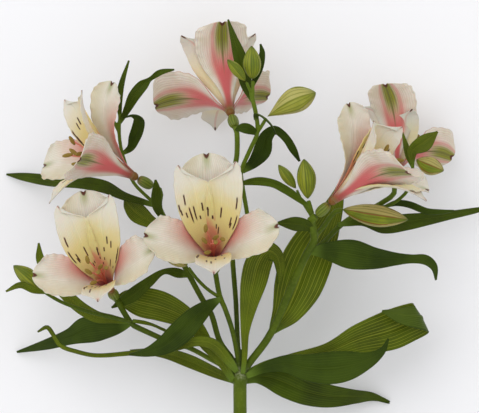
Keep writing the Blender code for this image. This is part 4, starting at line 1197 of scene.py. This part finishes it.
# Buds
# Closed blooms: three outer tepals wrapped edge over edge round the others, green with darker stripes
# and a dark tip, some already flushed or paler where they begin to open.
# Tone, base, tip, greatest radius, bow, share of the length where it is fullest
BUDS = {
    "bud_left": ("green", (-92.7, 39.7, 46.6), (-106.5, 51.5, 49), 4.0, 0.5, 0.5),
    "bud_speckled": ("flushed", (-24.8, 51.3, 45.6), (-38, 61, 48), 4.3, 0.5, 0.45),
    "bud_c": ("green", (-62.4, 126.2, 37.2), (-66, 137.5, 38), 2.9, 0.3, 0.45),
    "bud_top_upright": ("green", (6, 138.9, 59.1), (5.4, 154.5, 60), 4.3, 0, 0.45),
    "bud_top_left": ("green", (2.5, 138, 62.5), (-6, 148, 65.5), 2.6, 0.3, 0.5),
    "bud_top_large": ("pale", (12.8, 121.3, 59.2), (35.5, 132.6, 62), 6.0, -1.0, 0.62),
    "bud_ray_large": ("green", (31.8, 82.8, 57), (30, 101.5, 58), 4.5, 0.4, 0.5),
    "bud_ray_small": ("green", (26.2, 87.7, 55.9), (18, 98.8, 57), 2.6, 0, 0.5),
    "bud_striped": ("flushed", (83, 101.2, 40.1), (96, 96, 41), 4.3, 0.4, 0.5),
    "bud_low_large": ("flushed", (48.3, 77.8, 46.8), (79, 73, 47), 5.2, 0.6, 0.5),
}
BUD_SIDES = 60
BUD_RINGS = 48
WRAPS = 3
WRAP_STEP = 0.09
WRAP_TWIST = 0.5
WRAP_GROOVE = 0.06
GROOVE_WIDTH = 0.1
BUD_BLUNT = 0.75


def bud(name, base, tip, radius, bow, fullest):
    """A round grid that swells along a bowed line, with the step of each wrapped edge on it"""
    start, end = Vector(base), Vector(tip)
    along = (end - start).normalized()
    side = along.cross(UP).normalized()
    normal = along.cross(side)
    power = math.log(0.5) / math.log(fullest)
    made = ball(name, BUD_SIDES, BUD_RINGS)
    for vert in made.data.vertices:
        share = min(max((vert.co.z + 1) / 2, 0), 1)
        around = math.atan2(vert.co.y, vert.co.x)
        wrap = (WRAPS * (around / (2 * math.pi) + WRAP_TWIST * share / WRAPS)) % 1
        groove = WRAP_GROOVE * math.exp(-(((wrap - 0.5) / GROOVE_WIDTH) ** 2))
        step = 1 + WRAP_STEP * (wrap - 0.5) - groove
        swell = radius * math.sin(math.pi * share**power) ** BUD_BLUNT * step
        middle = start.lerp(end, share) + side * bow * math.sin(math.pi * share)
        out = side * math.cos(around) + normal * math.sin(around)
        vert.co = (middle + out * swell + FORK) * MM
    return settle(made)


def bud_finish(name, base, deep, stripe, band, edge, tip):
    """Dark lines on green, a broad edged band where each petal shows, and a darker tip and foot"""
    made, tree, shader, marks = finish(name, 0.45, subsurface=0.05)
    measured(tree, marks)
    for mark, count, width in (("bands", WRAPS, 0.5), ("lines", 18, 0.3), ("fine lines", 54, 0.45)):
        marks[mark] = placed(tree, VEINS, UV=marks["uv"], Count=count, Width=width)
    marks["tone"] = cloud(tree, marks["place"], 130)
    coloured(tree, shader, base, marks, (
        (deep, 1, ("tone", 0.35, 0.65)),
        (band, 0.75, ("bands", 0.4, 0.6)),
        (stripe, 0.6, ("lines", 0.3, 0.8)),
        (edge, 0.85, ("bands", 0.34, 0.42), ("bands", 0.52, 0.44)),
        (stripe, 0.25, ("fine lines",)),
        (tip, 0.9, ("along", 0.7, 1.0)),
        (paint(78, 94, 22), 0.8, ("along", 0.25, 0.0)),
    ))
    raised(tree, shader, marks["lines"], 0.0003)
    return made


# Base, deeper base, lines, bands, their edges and the tip
BUD_TONES = {
    "green": ((124, 132, 20), (98, 112, 14), (66, 82, 6), (142, 146, 40), (84, 98, 10), (62, 80, 14)),
    "pale": (
        (150, 150, 58), (134, 138, 42), (100, 108, 22), (182, 172, 104), (112, 116, 30), (92, 104, 18),
    ),
    "flushed": (
        (128, 138, 22), (106, 120, 14), (88, 98, 12), (186, 166, 104), (132, 52, 36), (74, 88, 12),
    ),
}
bud_finishes = {}
for tone, colours in BUD_TONES.items():
    bud_finishes[tone] = bud_finish("bud, " + tone, *(paint(*colour) for colour in colours))
for name, (tone, *form) in BUDS.items():
    closed = bud(name + "_closed", *form)
    closed.data.materials.append(bud_finishes[tone])
    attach(closed, "root")
    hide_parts(name)
